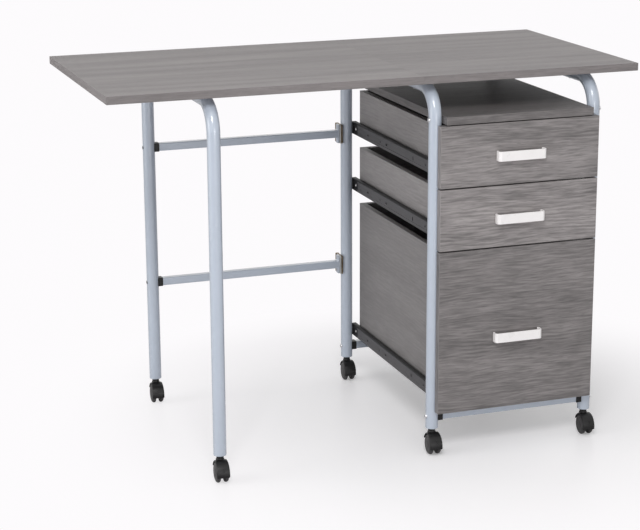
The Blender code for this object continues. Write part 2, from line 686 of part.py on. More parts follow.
def hood_outlines():
    """The hood's curved cover and the web that holds the axle, about the axle: (forward, up)."""
    inner = WHEEL_RADIUS + HOOD_CLEARANCE
    outer = inner + HOOD_SHEET
    start = math.pi - HOOD_START
    end = math.pi - HOOD_END
    cover = arc_points((0.0, 0.0), outer, start, end, HOOD_STEPS)
    cover += arc_points((0.0, 0.0), inner, end, start, HOOD_STEPS)
    middle = (inner + outer) / 2
    web_start = start - WEB_INSET
    web_end = end + WEB_INSET
    web = arc_points((0.0, 0.0), middle, web_start, web_end, HOOD_STEPS)
    web += arc_points((0.0, 0.0), HUB_RADIUS, web_end, web_start - 2 * math.pi, HOOD_STEPS // 2)
    return cover, web


def fork_mesh(workshop):
    """A caster's neck, hood, web and stem in one, about the foot of the stem's axis."""
    cover_outline, web_outline = hood_outlines()
    axle = (0.0, -CASTER_TRAIL, WHEEL_RADIUS)
    neck_top = CASTER_HEIGHT - SEAT_GAP
    neck_length = neck_top - WHEEL_RADIUS
    neck = rod_mesh("caster_fork", NECK_RADIUS, neck_length, ROUND_SEGMENTS)
    neck.transform(Matrix.Translation((0.0, 0.0, neck_top - neck_length / 2)))
    base = bpy.data.objects.new("caster_fork", neck)
    bpy.context.scene.collection.objects.link(base)
    wheel_room = WHEEL_RADIUS + HOOD_CLEARANCE / 2
    room_start = WEB_THICKNESS / 2 - SEAT_GAP
    room_width = CASTER_WIDTH / 2 - room_start
    rooms = twin_rods_mesh("wheel_rooms", wheel_room, room_width, room_start + room_width / 2)
    web = outline_mesh("hood_web", web_outline, WEB_THICKNESS, OUTLINE_TO_YZ)
    cover = outline_mesh("hood_cover", cover_outline, CASTER_WIDTH, OUTLINE_TO_YZ)
    stem_low = neck_top - CUT_MARGIN
    stem_high = CASTER_HEIGHT + STEM_LENGTH
    stem = rod_mesh("stem", STEM_RADIUS, stem_high - stem_low, ROUND_SEGMENTS)
    hole = rod_mesh("axle_hole", AXLE_RADIUS + SEAT_GAP, CASTER_WIDTH, ROUND_SEGMENTS, "X")
    steps = [
        (workshop.cutter("wheel_rooms", rooms, axle), "DIFFERENCE"),
        (workshop.cutter("hood_web", web, axle), "UNION"),
        (workshop.cutter("hood_cover", cover, axle), "UNION"),
        (workshop.cutter("stem", stem, (0.0, 0.0, (stem_low + stem_high) / 2)), "UNION"),
        (workshop.cutter("axle_hole", hole, axle), "DIFFERENCE"),
    ]
    for other, operation in steps:
        add_boolean(base, other, operation)
    bpy.context.view_layer.update()
    mesh = evaluated_mesh(base, "caster_fork")
    bpy.data.objects.remove(base, do_unlink=True)
    for other, _ in steps:
        bpy.data.objects.remove(other, do_unlink=True)
    return mesh


def add_casters(workshop, root, wing):
    """Add a swivelling caster under each post."""
    fork = fork_mesh(workshop)
    wheels = wheels_mesh()
    rows = {"wing": (WING_X, wing), "left": (LEFT_POSTS_X, root), "right": (RIGHT_POSTS_X, root)}
    for row, (x, carrier) in rows.items():
        for end, y in (("front", FRONT_POSTS_Y), ("rear", REAR_POSTS_Y)):
            name = row + "_" + end + "_caster"
            foot = (x, y, 0.0)
            swivel = workshop.empty(name + "_swivel", foot, carrier, CASTER_YAW)
            axle_place = swivel.matrix_world @ Vector((0.0, -CASTER_TRAIL, WHEEL_RADIUS))
            axle = workshop.empty(name + "_axle", axle_place, swivel, CASTER_YAW)
            body = workshop.piece(name + "_fork", fork, swivel, "black_plastic", foot)
            shade_round(body)
            pair = workshop.piece(name + "_wheels", wheels, axle, "black_plastic", axle_place)
            shade_round(pair)


def main():
    """Build the desk."""
    clear_scene()
    workshop = Workshop()
    root = workshop.empty("pedestal", (0.0, 0.0, 0.0))
    wing = workshop.empty("wing", (HINGE_X, HINGE_Y, 0.0), root)
    add_desktop(workshop, root, wing)
    add_pedestal(workshop, root)
    add_wing_hinges(workshop, root, wing)
    add_wing(workshop, wing)
    for name, values in DRAWERS.items():
        add_drawer(workshop, name, *values, root)
    add_casters(workshop, root, wing)


main()
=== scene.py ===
"""Folding desk on casters, dressed for the studio.

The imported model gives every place. The classes below model finer pieces over its nodes: bent
tubes, boards whose grain follows each face, slides, hinges, pulls and casters.
"""

import json
import logging
import math
from collections.abc import Callable, Iterator, Sequence
from contextlib import contextmanager
from dataclasses import dataclass
from enum import Enum

import bmesh
import bpy
from mathutils import Matrix, Vector

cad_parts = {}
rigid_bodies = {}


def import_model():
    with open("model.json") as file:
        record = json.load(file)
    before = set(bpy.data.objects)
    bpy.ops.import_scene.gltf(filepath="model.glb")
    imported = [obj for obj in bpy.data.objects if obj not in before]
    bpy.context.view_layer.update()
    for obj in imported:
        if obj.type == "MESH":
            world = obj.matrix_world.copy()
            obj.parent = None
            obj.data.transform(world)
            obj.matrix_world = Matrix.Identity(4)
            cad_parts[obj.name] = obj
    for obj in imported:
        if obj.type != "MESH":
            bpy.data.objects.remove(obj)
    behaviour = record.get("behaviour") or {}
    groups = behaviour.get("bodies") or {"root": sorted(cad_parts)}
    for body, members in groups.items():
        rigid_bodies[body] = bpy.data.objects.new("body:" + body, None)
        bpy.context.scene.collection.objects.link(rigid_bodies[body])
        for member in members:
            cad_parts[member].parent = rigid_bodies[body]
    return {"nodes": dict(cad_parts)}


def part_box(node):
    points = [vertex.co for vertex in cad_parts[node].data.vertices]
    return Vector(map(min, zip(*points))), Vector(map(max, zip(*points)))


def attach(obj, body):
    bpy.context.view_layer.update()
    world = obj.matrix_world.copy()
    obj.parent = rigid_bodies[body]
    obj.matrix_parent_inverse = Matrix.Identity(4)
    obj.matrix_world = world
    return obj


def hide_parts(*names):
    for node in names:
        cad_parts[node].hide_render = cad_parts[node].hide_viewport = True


for start_object in list(bpy.data.objects):
    bpy.data.objects.remove(start_object, do_unlink=True)
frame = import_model()

LOG = logging.getLogger("folding_desk")

Colour = tuple[float, float, float]
Element = bmesh.types.BMVert | bmesh.types.BMEdge | bmesh.types.BMFace
Item = bpy.types.Object
Point = Sequence[float]
Socket = bpy.types.NodeSocket

# Modelling tolerances
WELD_DISTANCE = 1e-6
DOT_SIZE = 1e-4
SHARP_ANGLE = math.radians(40)
EDGE_ANGLE = math.radians(30)
QUARTER_TURN = math.pi / 2
FULL_TURN = 2 * math.pi
ORIGIN = (0.0, 0.0, 0.0)

# Cosine from which a face counts as facing an axis, and from which it is no rounded edge
FACING = 0.9
FLAT = 0.98

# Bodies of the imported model
PEDESTAL = "pedestal"
WING = "wing"

# Sizes that more than one sub-assembly uses
TUBE_RADIUS = 0.0125
SEAT_GAP = 0.0003
BAR_PLATE = 0.003

# Painted light and shade on each drawer: how much lighter or darker its front and the sides of its box
# are made, standing in for how light falls on them
DRAWER_PAINTED_LIGHT = {"upper": (0.96, 1.38), "middle": (1.19, 1.38), "file": (0.80, 1.02)}

# Painted shade on the shelf, which lies in the desktop's shadow: how dark the shelf is made, and its long
# edges beside it
SHELF_PAINTED_SHADE = (0.66, 0.95)

# Steps along and across the grain from one board's print to the next, and from face to face
PRINT_STEP = (0.731, 0.4193)
FACE_STEP = 0.137


class Part(Enum):
    """What an edit-mode selection holds."""

    VERT = "verts"
    EDGE = "edges"
    FACE = "faces"


class Axis(Enum):
    """A world axis: its number, its direction, and the turn that lays +Z along it."""

    X = (0, (1.0, 0.0, 0.0), (0.0, QUARTER_TURN, 0.0))
    Y = (1, (0.0, 1.0, 0.0), (-QUARTER_TURN, 0.0, 0.0))
    Z = (2, (0.0, 0.0, 1.0), (0.0, 0.0, 0.0))

    @property
    def number(self) -> int:
        """Place of the axis in a point."""
        return self.value[0]

    @property
    def direction(self) -> Vector:
        """Unit vector along the axis."""
        return Vector(self.value[1])

    @property
    def turn(self) -> tuple[float, float, float]:
        """Rotation that lays +Z along the axis."""
        return self.value[2]


class Side(Enum):
    """A side of the pedestal: its name, and the way that leads inwards along X."""

    LEFT = 1
    RIGHT = -1

    @property
    def word(self) -> str:
        """The side's name in a piece."""
        return self.name.lower()


# Modelling in edit mode


def level_of(node: str) -> float:
    """Height of a node's middle."""
    low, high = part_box(node)
    return (low.z + high.z) / 2


def deselect_all() -> None:
    """Leave nothing selected, so that the next operator acts on one piece alone."""
    bpy.ops.object.select_all(action="DESELECT")


def activate(item: Item) -> None:
    """Select one object alone and make it the active one."""
    deselect_all()
    item.select_set(True)
    bpy.context.view_layer.objects.active = item


def settle(name: str) -> Item:
    """Name the object that was just added, put its place into its mesh, and return it."""
    item = bpy.context.object
    item.name = name
    item.data.name = name
    bpy.ops.object.transform_apply(location=True, rotation=True, scale=True)
    return item


@contextmanager
def editing(item: Item) -> Iterator[None]:
    """Work on an object in edit mode for the length of a with block."""
    activate(item)
    bpy.ops.object.mode_set(mode="EDIT")
    yield
    bpy.ops.object.mode_set(mode="OBJECT")


def middle_of(element: Element) -> Vector:
    """Middle of an edge or face."""
    return sum((vert.co for vert in element.verts), Vector()) / len(element.verts)


def pick(item: Item, part: Part, test: Callable[[Element], bool]) -> None:
    """Select the parts of a mesh in edit mode that pass a test.

    Args:
        item: The object in edit mode.
        part: The kind of element to select.
        test: Says whether an element is selected.
    """
    bpy.ops.mesh.select_mode(type=part.name)
    bpy.ops.mesh.select_all(action="DESELECT")
    shape = bmesh.from_edit_mesh(item.data)
    for element in getattr(shape, part.value):
        if test(element):
            element.select_set(True)
    shape.select_flush_mode()
    bmesh.update_edit_mesh(item.data)


def select_whole() -> None:
    """Select the whole mesh in edit mode, loose edges as well."""
    bpy.ops.mesh.select_mode(type="VERT")
    bpy.ops.mesh.select_all(action="SELECT")


def extrude(step: Point) -> None:
    """Extrude the selection by a step."""
    bpy.ops.mesh.extrude_region_move(TRANSFORM_OT_translate={"value": tuple(step)})


def spin(angle: float, steps: int, centre: Point, axis: Point) -> None:
    """Spin the selection by the right-hand rule; the operator itself turns the other way."""
    bpy.ops.mesh.spin(steps=steps, angle=-angle, center=tuple(centre), axis=tuple(axis))


def bevel(width: float, segments: int) -> None:
    """Round the selected edges."""
    bpy.ops.mesh.bevel(offset=width, segments=segments, affect="EDGES")


def slice_whole(place: Point, normal: Point, **options: bool) -> None:
    """Cut the whole mesh in edit mode along a plane."""
    select_whole()
    bpy.ops.mesh.bisect(plane_co=tuple(place), plane_no=tuple(normal), **options)


def close_seams() -> None:
    """Merge doubled points and turn every face outwards."""
    select_whole()
    bpy.ops.mesh.remove_doubles(threshold=WELD_DISTANCE)
    bpy.ops.mesh.normals_make_consistent(inside=False)


def run_out(item: Item, step: Point) -> None:
    """Extrude all of a drawn line or section by a step."""
    with editing(item):
        select_whole()
        extrude(step)
        close_seams()


def apply(item: Item, kind: str, **settings: object) -> None:
    """Add a modifier with its settings and apply it.

    Args:
        item: The object that gets the modifier.
        kind: Blender's name of the modifier type.
        settings: Values of the modifier's properties.
    """
    activate(item)
    modifier = item.modifiers.new(kind.title(), kind)
    for key, value in settings.items():
        setattr(modifier, key, value)
    bpy.ops.object.modifier_apply(modifier=modifier.name)


def thicken(item: Item, thickness: float, offset: float = 0.0) -> None:
    """Give a sheet its thickness, about its surface or, at -1, inwards of it."""
    apply(item, "SOLIDIFY", thickness=thickness, offset=offset, use_even_offset=True)


def ease_edges(item: Item, width: float, segments: int = 2) -> None:
    """Round every sharp edge of a piece."""
    apply(item, "BEVEL", width=width, segments=segments, limit_method="ANGLE", angle_limit=EDGE_ANGLE)


def shade(item: Item) -> None:
    """Shade a piece smooth up to its sharp edges, with flat faces kept flat."""
    activate(item)
    bpy.ops.object.shade_smooth_by_angle(angle=SHARP_ANGLE)
    apply(item, "WEIGHTED_NORMAL", keep_sharp=True)


def cut(item: Item, tool: Item) -> None:
    """Cut a tool's shape out of a piece and remove the tool."""
    apply(item, "BOOLEAN", operation="DIFFERENCE", solver="EXACT", object=tool)
    bpy.data.objects.remove(tool, do_unlink=True)


def join(items: Sequence[Item], name: str) -> Item:
    """Join several objects into the first of them, and return it under its name."""
    activate(items[0])
    for other in items[1:]:
        other.select_set(True)
    bpy.ops.object.join()
    items[0].name = name
    items[0].data.name = name
    return items[0]


def add_block(name: str, low: Point, high: Point) -> Item:
    """Add a box between its lowest and its highest corner."""
    deselect_all()
    first = Vector(low)
    last = Vector(high)
    bpy.ops.mesh.primitive_cube_add(size=1.0, location=(first + last) / 2)
    bpy.context.object.scale = last - first
    return settle(name)


def add_rod(name: str, radius: float, length: float, place: Point, axis: Axis, sides: int) -> Item:
    """Add a round rod about its middle.

    Args:
        name: Name of the object.
        radius: Radius of the rod.
        length: Length of the rod.
        place: Middle of the rod.
        axis: Axis that the rod runs along.
        sides: Number of sides.

    Returns:
        The rod.
    """
    deselect_all()
    bpy.ops.mesh.primitive_cylinder_add(
        vertices=sides, radius=radius, depth=length, location=place, rotation=axis.turn
    )
    return settle(name)


def add_ring(name: str, radius: float, place: Point, sides: int) -> Item:
    """Add a flat open ring of edges about its middle."""
    deselect_all()
    bpy.ops.mesh.primitive_circle_add(vertices=sides, radius=radius, location=place)
    return settle(name)


def draw_line(name: str, points: Sequence[Point], closed: bool = False) -> Item:
    """Draw a line by extruding one point from place to place.

    Args:
        name: Name of the object.
        points: Places that the line goes through.
        closed: True joins the last place to the first with a face between them all.

    Returns:
        The drawn line.
    """
    deselect_all()
    bpy.ops.mesh.primitive_plane_add(size=DOT_SIZE, location=points[0])
    item = settle(name)
    with editing(item):
        select_whole()
        bpy.ops.mesh.merge(type="CENTER")
        for start, end in zip(points, points[1:]):
            extrude(Vector(end) - Vector(start))
        if closed:
            select_whole()
            bpy.ops.mesh.edge_face_add()
    return item


def round_path(points: Sequence[Point], radius: float, steps: int, closed: bool = False) -> list[Vector]:
    """Round the corners of a path.

    Args:
        points: Corners of the path.
        radius: Radius of each rounded corner.
        steps: Number of steps in each corner.
        closed: True rounds the first and last corner too.

    Returns:
        The places along the rounded path.
    """
    corners = [Vector(point) for point in points]
    rounded: list[Vector] = []
    for index, corner in enumerate(corners):
        if not closed and index in (0, len(corners) - 1):
            rounded.append(corner)
            continue
        back = (corners[index - 1] - corner).normalized()
        ahead = (corners[(index + 1) % len(corners)] - corner).normalized()
        half = back.angle(ahead) / 2
        centre = corner + (back + ahead).normalized() * (radius / math.sin(half))
        first = (corner + back * (radius / math.tan(half)) - centre).normalized()
        last = (corner + ahead * (radius / math.tan(half)) - centre).normalized()
        for step in range(steps + 1):
            rounded.append(centre + first.slerp(last, step / steps) * radius)
    return rounded


def draw_section(name: str, x: float, low: Vector, high: Vector, corner: float, steps: int) -> Item:
    """Draw a rounded rectangle across X, with a face in it.

    Args:
        name: Name of the object.
        x: Place of the section along X.
        low: Lowest corner.
        high: Highest corner.
        corner: Radius of its corners.
        steps: Number of steps in each corner.

    Returns:
        The section.
    """
    corners = [(x, low.y, low.z), (x, high.y, low.z), (x, high.y, high.z), (x, low.y, high.z)]
    return draw_line(name, round_path(corners, corner, steps, closed=True), closed=True)


def turn_profile(name: str, profile: Sequence[tuple[float, float]], axis: Axis, steps: int) -> Item:
    """Turn a profile about an axis through the origin.

    Args:
        name: Name of the object.
        profile: Points as radius and offset along the axis.
        axis: X or Z, the axis to turn about.
        steps: Number of steps round.

    Returns:
        The turned piece.
    """
    if axis is Axis.X:
        points = [(offset, 0.0, radius) for radius, offset in profile]
    else:
        points = [(radius, 0.0, offset) for radius, offset in profile]
    item = draw_line(name, points)
    with editing(item):
        select_whole()
        spin(FULL_TURN, steps, ORIGIN, axis.direction)
        close_seams()
    return item


class Pattern:
    """A piece that is modelled once and copied, each copy with its own mesh."""

    def __init__(self, item: Item) -> None:
        """Keep the modelled piece as the pattern."""
        self.item = item

    def place(self, name: str, matrix: Matrix) -> Item:
        """Copy the pattern, with its points moved by a matrix."""
        made = self.item.copy()
        made.data = self.item.data.copy()
        made.name = name
        made.data.name = name
        made.data.transform(matrix)
        bpy.context.collection.objects.link(made)
        return made

    def point(self, name: str, place: Point, direction: Point) -> Item:
        """Copy the pattern to a place, with its +Z along a direction."""
        lean = Vector(direction).to_track_quat("Z", "Y").to_matrix().to_4x4()
        return self.place(name, Matrix.Translation(Vector(place)) @ lean)

    def discard(self) -> None:
        """Remove the pattern itself."""
        bpy.data.objects.remove(self.item, do_unlink=True)


# Materials


@dataclass(frozen=True)
class Layer:
    """A noise with its limits, which are mapped onto the values from start to end."""

    detail: float
    roughness: float
    low: float = 0.0
    high: float = 1.0
    stretch: Point = ()
    start: float = 0.0
    end: float = 1.0


# The printed oak over (along the grain, across it) in metres: how its lines lean, and its parts
OAK_LEAN = Layer(3.0, 0.5, 0.0, 1.0, (5.0, 13.0, 1.0), -0.010, 0.010)
OAK_LAYERS = {
    "Bands": Layer(3.0, 0.5, 0.32, 0.68, (1.8, 22.0, 1.0)),
    "Streaks": Layer(2.0, 0.6, 0.34, 0.66, (17.0, 250.0, 1.0)),
    "Pores": Layer(1.0, 0.5, 0.56, 0.70, (48.0, 620.0, 1.0)),
}

# Coated and moulded surfaces: slow mottle, fine height, and the two noises of the rub marks
MOTTLE = Layer(3.0, 0.55, 0.3, 0.7)
FINE_HEIGHT = Layer(2.0, 0.5)
RUB_PATCHES = Layer(4.0, 0.6, 0.52, 0.75)
RUB_SCRATCHES = Layer(6.0, 0.7, 0.45, 0.7, (3.0, 3.0, 0.4))


class Graph:
    """A node tree with short calls to add and link nodes."""

    def __init__(self, tree: bpy.types.NodeTree) -> None:
        """Keep the tree to work on."""
        self.tree = tree

    def feed(self, target: Socket, value: object) -> None:
        """Link a socket to an input, or set the input's own value."""
        if isinstance(value, bpy.types.NodeSocket):
            self.tree.links.new(value, target)
        else:
            target.default_value = value

    def add(
        self, kind: str, inputs: dict[str | int, object] | None = None, **values: object
    ) -> bpy.types.Node:
        """Add a node.

        Args:
            kind: Blender's name of the node type.
            inputs: Sockets or values for its inputs, by name or number.
            values: Values of its properties.

        Returns:
            The node.
        """
        made = self.tree.nodes.new(kind)
        for key, value in values.items():
            setattr(made, key, value)
        for key, value in (inputs or {}).items():
            self.feed(made.inputs[key], value)
        return made

    def group(self, maker: Callable[[], bpy.types.NodeTree], inputs: dict[str, object]) -> bpy.types.Node:
        """Add a shared node group, which is built the first time."""
        tree = bpy.data.node_groups.get(maker.__name__) or maker()
        return self.add("ShaderNodeGroup", inputs, node_tree=tree)

    def attribute(self, name: str, output: str = "Fac") -> Socket:
        """Read an attribute of the mesh."""
        return self.add("ShaderNodeAttribute", attribute_name=name).outputs[output]

    def math(self, operation: str, first: object, second: object) -> Socket:
        """Join two values by an operation."""
        return self.add("ShaderNodeMath", {0: first, 1: second}, operation=operation).outputs["Value"]

    def limits(
        self, value: Socket, low: float, high: float, start: float = 0.0, end: float = 1.0
    ) -> Socket:
        """Map the values from low to high onto those from start to end, and clamp them."""
        inputs = {"Value": value, "From Min": low, "From Max": high, "To Min": start, "To Max": end}
        return self.add("ShaderNodeMapRange", inputs).outputs["Result"]

    def layer(self, vector: Socket, layer: Layer, scale: object = 1.0) -> Socket:
        """Add a noise layer over a vector, and return its value within the layer's limits."""
        if layer.stretch:
            mapping = self.add("ShaderNodeMapping", {"Vector": vector, "Scale": tuple(layer.stretch)})
            vector = mapping.outputs["Vector"]
        inputs = {"Vector": vector, "Scale": scale, "Detail": layer.detail, "Roughness": layer.roughness}
        noise = self.add("ShaderNodeTexNoise", inputs).outputs["Fac"]
        return self.limits(noise, layer.low, layer.high, layer.start, layer.end)

    def mix(self, factor: object, first: object, second: object, blend: str = "MIX") -> Socket:
        """Mix two colours."""
        made = self.add("ShaderNodeMix", {"Factor": factor}, data_type="RGBA", blend_type=blend)
        colour_inputs = [socket for socket in made.inputs if socket.type == "RGBA"]
        self.feed(colour_inputs[0], first)
        self.feed(colour_inputs[1], second)
        return next(socket for socket in made.outputs if socket.type == "RGBA")

    def bump(self, height: Socket, strength: float, distance: float) -> Socket:
        """Turn a height into a normal."""
        inputs = {"Height": height, "Strength": strength, "Distance": distance}
        return self.add("ShaderNodeBump", inputs).outputs["Normal"]


def new_group(
    name: str, values: Sequence[str], outputs: Sequence[str]
) -> tuple[Graph, dict[str, Socket], bpy.types.Node]:
    """Start a node group over a vector.

    Args:
        name: Name of the group.
        values: Names of the inputs beside the vector, all of them values.
        outputs: Names of the outputs, all of them values.

    Returns:
        The group's graph, its inputs by name, and the node that takes its outputs.
    """
    tree = bpy.data.node_groups.new(name, "ShaderNodeTree")
    tree.interface.new_socket("Vector", in_out="INPUT", socket_type="NodeSocketVector")
    for label in values:
        tree.interface.new_socket(label, in_out="INPUT", socket_type="NodeSocketFloat")
    for label in outputs:
        tree.interface.new_socket(label, in_out="OUTPUT", socket_type="NodeSocketFloat")
    graph = Graph(tree)
    source = graph.add("NodeGroupInput")
    given = {label: source.outputs[label] for label in ("Vector", *values)}
    return graph, given, graph.add("NodeGroupOutput")


def oak_figure() -> bpy.types.NodeTree:
    """Build the group that puts out the printed oak's broad bands, streaks and pores."""
    graph, given, sink = new_group("oak_figure", (), tuple(OAK_LAYERS))
    plane = given["Vector"]
    shift = graph.add("ShaderNodeCombineXYZ", {"Y": graph.layer(plane, OAK_LEAN)})
    warped = graph.add("ShaderNodeVectorMath", {0: plane, 1: shift.outputs["Vector"]}, operation="ADD")
    for name, layer in OAK_LAYERS.items():
        graph.feed(sink.inputs[name], graph.layer(warped.outputs["Vector"], layer))
    return graph.tree


def fine_grain() -> bpy.types.NodeTree:
    """Build the group that puts out a slow mottle and the fine height of a coated surface."""
    graph, given, sink = new_group("fine_grain", ("Mottle Scale", "Grain Scale"), ("Mottle", "Height"))
    graph.feed(sink.inputs["Mottle"], graph.layer(given["Vector"], MOTTLE, given["Mottle Scale"]))
    graph.feed(sink.inputs["Height"], graph.layer(given["Vector"], FINE_HEIGHT, given["Grain Scale"]))
    return graph.tree


def rub_marks() -> bpy.types.NodeTree:
    """Build the group that puts out a mask of the sparse marks that handling leaves."""
    graph, given, sink = new_group("rub_marks", ("Scale", "Amount"), ("Mask",))
    patches = graph.layer(given["Vector"], RUB_PATCHES, given["Scale"])
    scratches = graph.layer(given["Vector"], RUB_SCRATCHES, given["Scale"])
    both = graph.math("MULTIPLY", patches, scratches)
    graph.feed(sink.inputs["Mask"], graph.math("MULTIPLY", both, given["Amount"]))
    return graph.tree


def opaque(colour: Colour) -> tuple[float, float, float, float]:
    """A colour with full alpha."""
    return (*colour, 1.0)


def toned(colour: Colour, factor: float) -> tuple[float, float, float, float]:
    """A colour made lighter or darker by a factor."""
    return opaque(tuple(min(1.0, channel * factor) for channel in colour))


@dataclass(frozen=True)
class Finish:
    """What every finish has: a name, the record's slot, and its plain values."""

    name: str
    slot: str
    colour: Colour
    roughness: float
    metallic: float = 0.0

    def material(self) -> bpy.types.Material:
        """Give the finish's material, building it the first time."""
        found = bpy.data.materials.get(self.name)
        if found is not None:
            return found
        made = bpy.data.materials.new(self.name)
        made.use_nodes = True
        shader = made.node_tree.nodes["Principled BSDF"]
        shader.inputs["Metallic"].default_value = self.metallic
        made.diffuse_color = opaque(self.colour)
        self.build(Graph(made.node_tree), shader)
        return made

    def build(self, graph: Graph, shader: bpy.types.Node) -> None:
        """Add the nodes of the finish; each kind of finish has its own."""
        raise NotImplementedError


@dataclass(frozen=True)
class Laminate(Finish):
    """Printed oak on board: grain along the piece's own UV map."""

    contrast: float = 0.54
    pore_depth: float = 0.40
    pore_tone: float = 0.45
    pore_height: float = 1.5
    band_tone: float = 1.10
    fineness: float = 0.62
    smoother: float = 0.05
    rougher: float = 0.07
    relief: float = 0.35
    relief_depth: float = 0.0004

    def build(self, graph: Graph, shader: bpy.types.Node) -> None:
        """Add the nodes of the printed oak.

        Args:
            graph: The material's graph.
            shader: The material's Principled shader.
        """
        grain = graph.add("ShaderNodeUVMap", uv_map="grain").outputs["UV"]
        figure = graph.group(oak_figure, {"Vector": grain}).outputs
        streaks = figure["Streaks"]
        pores = figure["Pores"]
        dark = toned(self.colour, 1.0 - self.contrast)
        light = toned(self.colour, 1.0 + self.contrast)
        broad = graph.mix(figure["Bands"], dark, light)
        wood = graph.mix(self.fineness, broad, graph.mix(streaks, dark, light))
        open_pores = graph.math("MULTIPLY", pores, self.pore_depth)
        wood = graph.mix(open_pores, wood, toned(self.colour, self.pore_tone))
        wood = graph.mix(graph.attribute("edge_band"), wood, toned(self.colour, self.band_tone))
        # Painted light and shade: the colour is multiplied by the board's painted light factor
        wood = graph.mix(1.0, wood, graph.attribute("board_tone", "Color"), "MULTIPLY")
        graph.feed(shader.inputs["Base Color"], wood)
        smooth = self.roughness - self.smoother
        rough = graph.limits(streaks, 0.0, 1.0, smooth, self.roughness + self.rougher)
        graph.feed(shader.inputs["Roughness"], rough)
        depth = graph.math("SUBTRACT", streaks, graph.math("MULTIPLY", pores, self.pore_height))
        graph.feed(shader.inputs["Normal"], graph.bump(depth, self.relief, self.relief_depth))


@dataclass(frozen=True)
class Coating(Finish):
    """A coated, plated or moulded surface: mottle, fine grain, rub marks, and painted shade on marked
    edges.
    """

    mottle: float = 0.06
    mottle_scale: float = 30.0
    unevenness: float = 0.04
    grain_scale: float = 900.0
    grain_strength: float = 0.10
    grain_depth: float = 0.0002
    wear: float = 0.3
    wear_scale: float = 55.0
    wear_tone: float = 0.8
    coat: float = 0.0
    coat_roughness: float = 0.13
    shine: float = 0.5
    edge_tone: float = 1.0

    def build(self, graph: Graph, shader: bpy.types.Node) -> None:
        """Add the nodes of the coating.

        Args:
            graph: The material's graph.
            shader: The material's Principled shader.
        """
        place = graph.add("ShaderNodeTexCoord").outputs["Object"]
        scales = {"Vector": place, "Mottle Scale": self.mottle_scale, "Grain Scale": self.grain_scale}
        surface = graph.group(fine_grain, scales).outputs
        marks = graph.group(rub_marks, {"Vector": place, "Scale": self.wear_scale, "Amount": self.wear})
        mask = marks.outputs["Mask"]
        mottle = surface["Mottle"]
        dark = toned(self.colour, 1.0 - self.mottle)
        light = toned(self.colour, 1.0 + self.mottle)
        colour = graph.mix(mask, graph.mix(mottle, dark, light), toned(self.colour, self.wear_tone))
        # Painted shade: faces marked in edge_band, the slides' rims and rear stops, are darkened by
        # edge_tone
        colour = graph.mix(graph.attribute("edge_band"), colour, toned(self.colour, self.edge_tone))
        graph.feed(shader.inputs["Base Color"], colour)
        smooth = self.roughness - self.unevenness
        rough = graph.limits(mottle, 0.0, 1.0, smooth, self.roughness + self.unevenness)
        graph.feed(shader.inputs["Roughness"], graph.math("ADD", rough, mask))
        normal = graph.bump(surface["Height"], self.grain_strength, self.grain_depth)
        graph.feed(shader.inputs["Normal"], normal)
        shader.inputs["Coat Weight"].default_value = self.coat
        shader.inputs["Coat Roughness"].default_value = self.coat_roughness
        shader.inputs["Specular IOR Level"].default_value = self.shine


OAK_FACE = Laminate("oak_face_laminate", "grey_oak", (0.235, 0.218, 0.216), 0.50, fineness=0.54)
OAK_TOP = Laminate(
    "oak_top_laminate", "grey_oak", (0.240, 0.2185, 0.2175), 0.50, contrast=0.30, pore_depth=0.25,
    band_tone=0.96, fineness=0.38,
)
OAK_BOX = Laminate(
    "oak_box_laminate", "grey_oak", (0.215, 0.204, 0.203), 0.52, contrast=0.22, pore_depth=0.18,
    band_tone=0.95,
)
PAINT = Coating(
    "powder_paint", "pale_blue_paint", (0.475, 0.53, 0.615), 0.32, mottle=0.015, grain_scale=700.0,
    grain_strength=0.06, wear=0.06, coat=1.0,
)
PLASTIC = Coating(
    "moulded_plastic", "black_plastic", (0.009, 0.0085, 0.009), 0.40, grain_scale=1600.0,
    grain_strength=0.2, wear=0.2, wear_tone=2.0, shine=0.30,
)
# Wheel plastic made lighter than the hood's, so that the wheels' outer faces show as lit: painted light
WHEEL_PLASTIC_PAINTED_LIGHT = Coating(
    "wheel_plastic", "black_plastic", (0.042, 0.040, 0.041), 0.46, grain_scale=1300.0,
    grain_strength=0.2, wear=0.5, wear_tone=2.2, shine=0.40,
)
# Black slide steel, whose rims and rear stop get painted shade
SLIDE_STEEL = Coating(
    "slide_steel", "black_steel", (0.088, 0.086, 0.090), 0.50, metallic=0.15, mottle=0.12, wear=0.35,
    wear_tone=2.0, wear_scale=90.0, shine=0.25, edge_tone=0.22,
)
# The hinge's zinc in two copies: the post's leaf is yellow zinc darkened by painted shade, and the bar's
# leaf is a pale copy with painted light
ZINC_PAINTED_SHADE = Coating(
    "yellow_zinc", "zinc_steel", (0.22, 0.150, 0.080), 0.36, metallic=0.7, mottle=0.35,
    mottle_scale=140.0, wear=0.5, wear_tone=0.6,
)
ZINC_PAINTED_LIGHT = Coating(
    "pale_zinc", "zinc_steel", (0.56, 0.55, 0.52), 0.38, metallic=0.5, mottle=0.10,
    mottle_scale=120.0, wear=0.4, wear_tone=0.8,
)
BRIGHT_STEEL = Coating(
    "bright_steel", "zinc_steel", (0.72, 0.72, 0.73), 0.26, metallic=1.0, mottle=0.05, wear_tone=0.7,
)
SATIN_WHITE = Coating(
    "satin_white", "white_satin", (0.93, 0.905, 0.90), 0.30, mottle=0.02, grain_scale=1100.0,
    grain_strength=0.06, wear=0.08, wear_tone=0.9,
)


def dress(item: Item, finish: Finish, body: str, *nodes: str) -> None:
    """Give a piece its finish, its body and the nodes that it stands for.

    Args:
        item: The finished piece.
        finish: The finish that covers it.
        body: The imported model's body that it rides on.
        nodes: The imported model's nodes that it replaces.
    """
    item.data.materials.clear()
    item.data.materials.append(finish.material())
    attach(item, body)
    if nodes:
        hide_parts(*nodes)
    LOG.info("%s rides on %s, %d faces", item.name, body, len(item.data.polygons))


# Boards


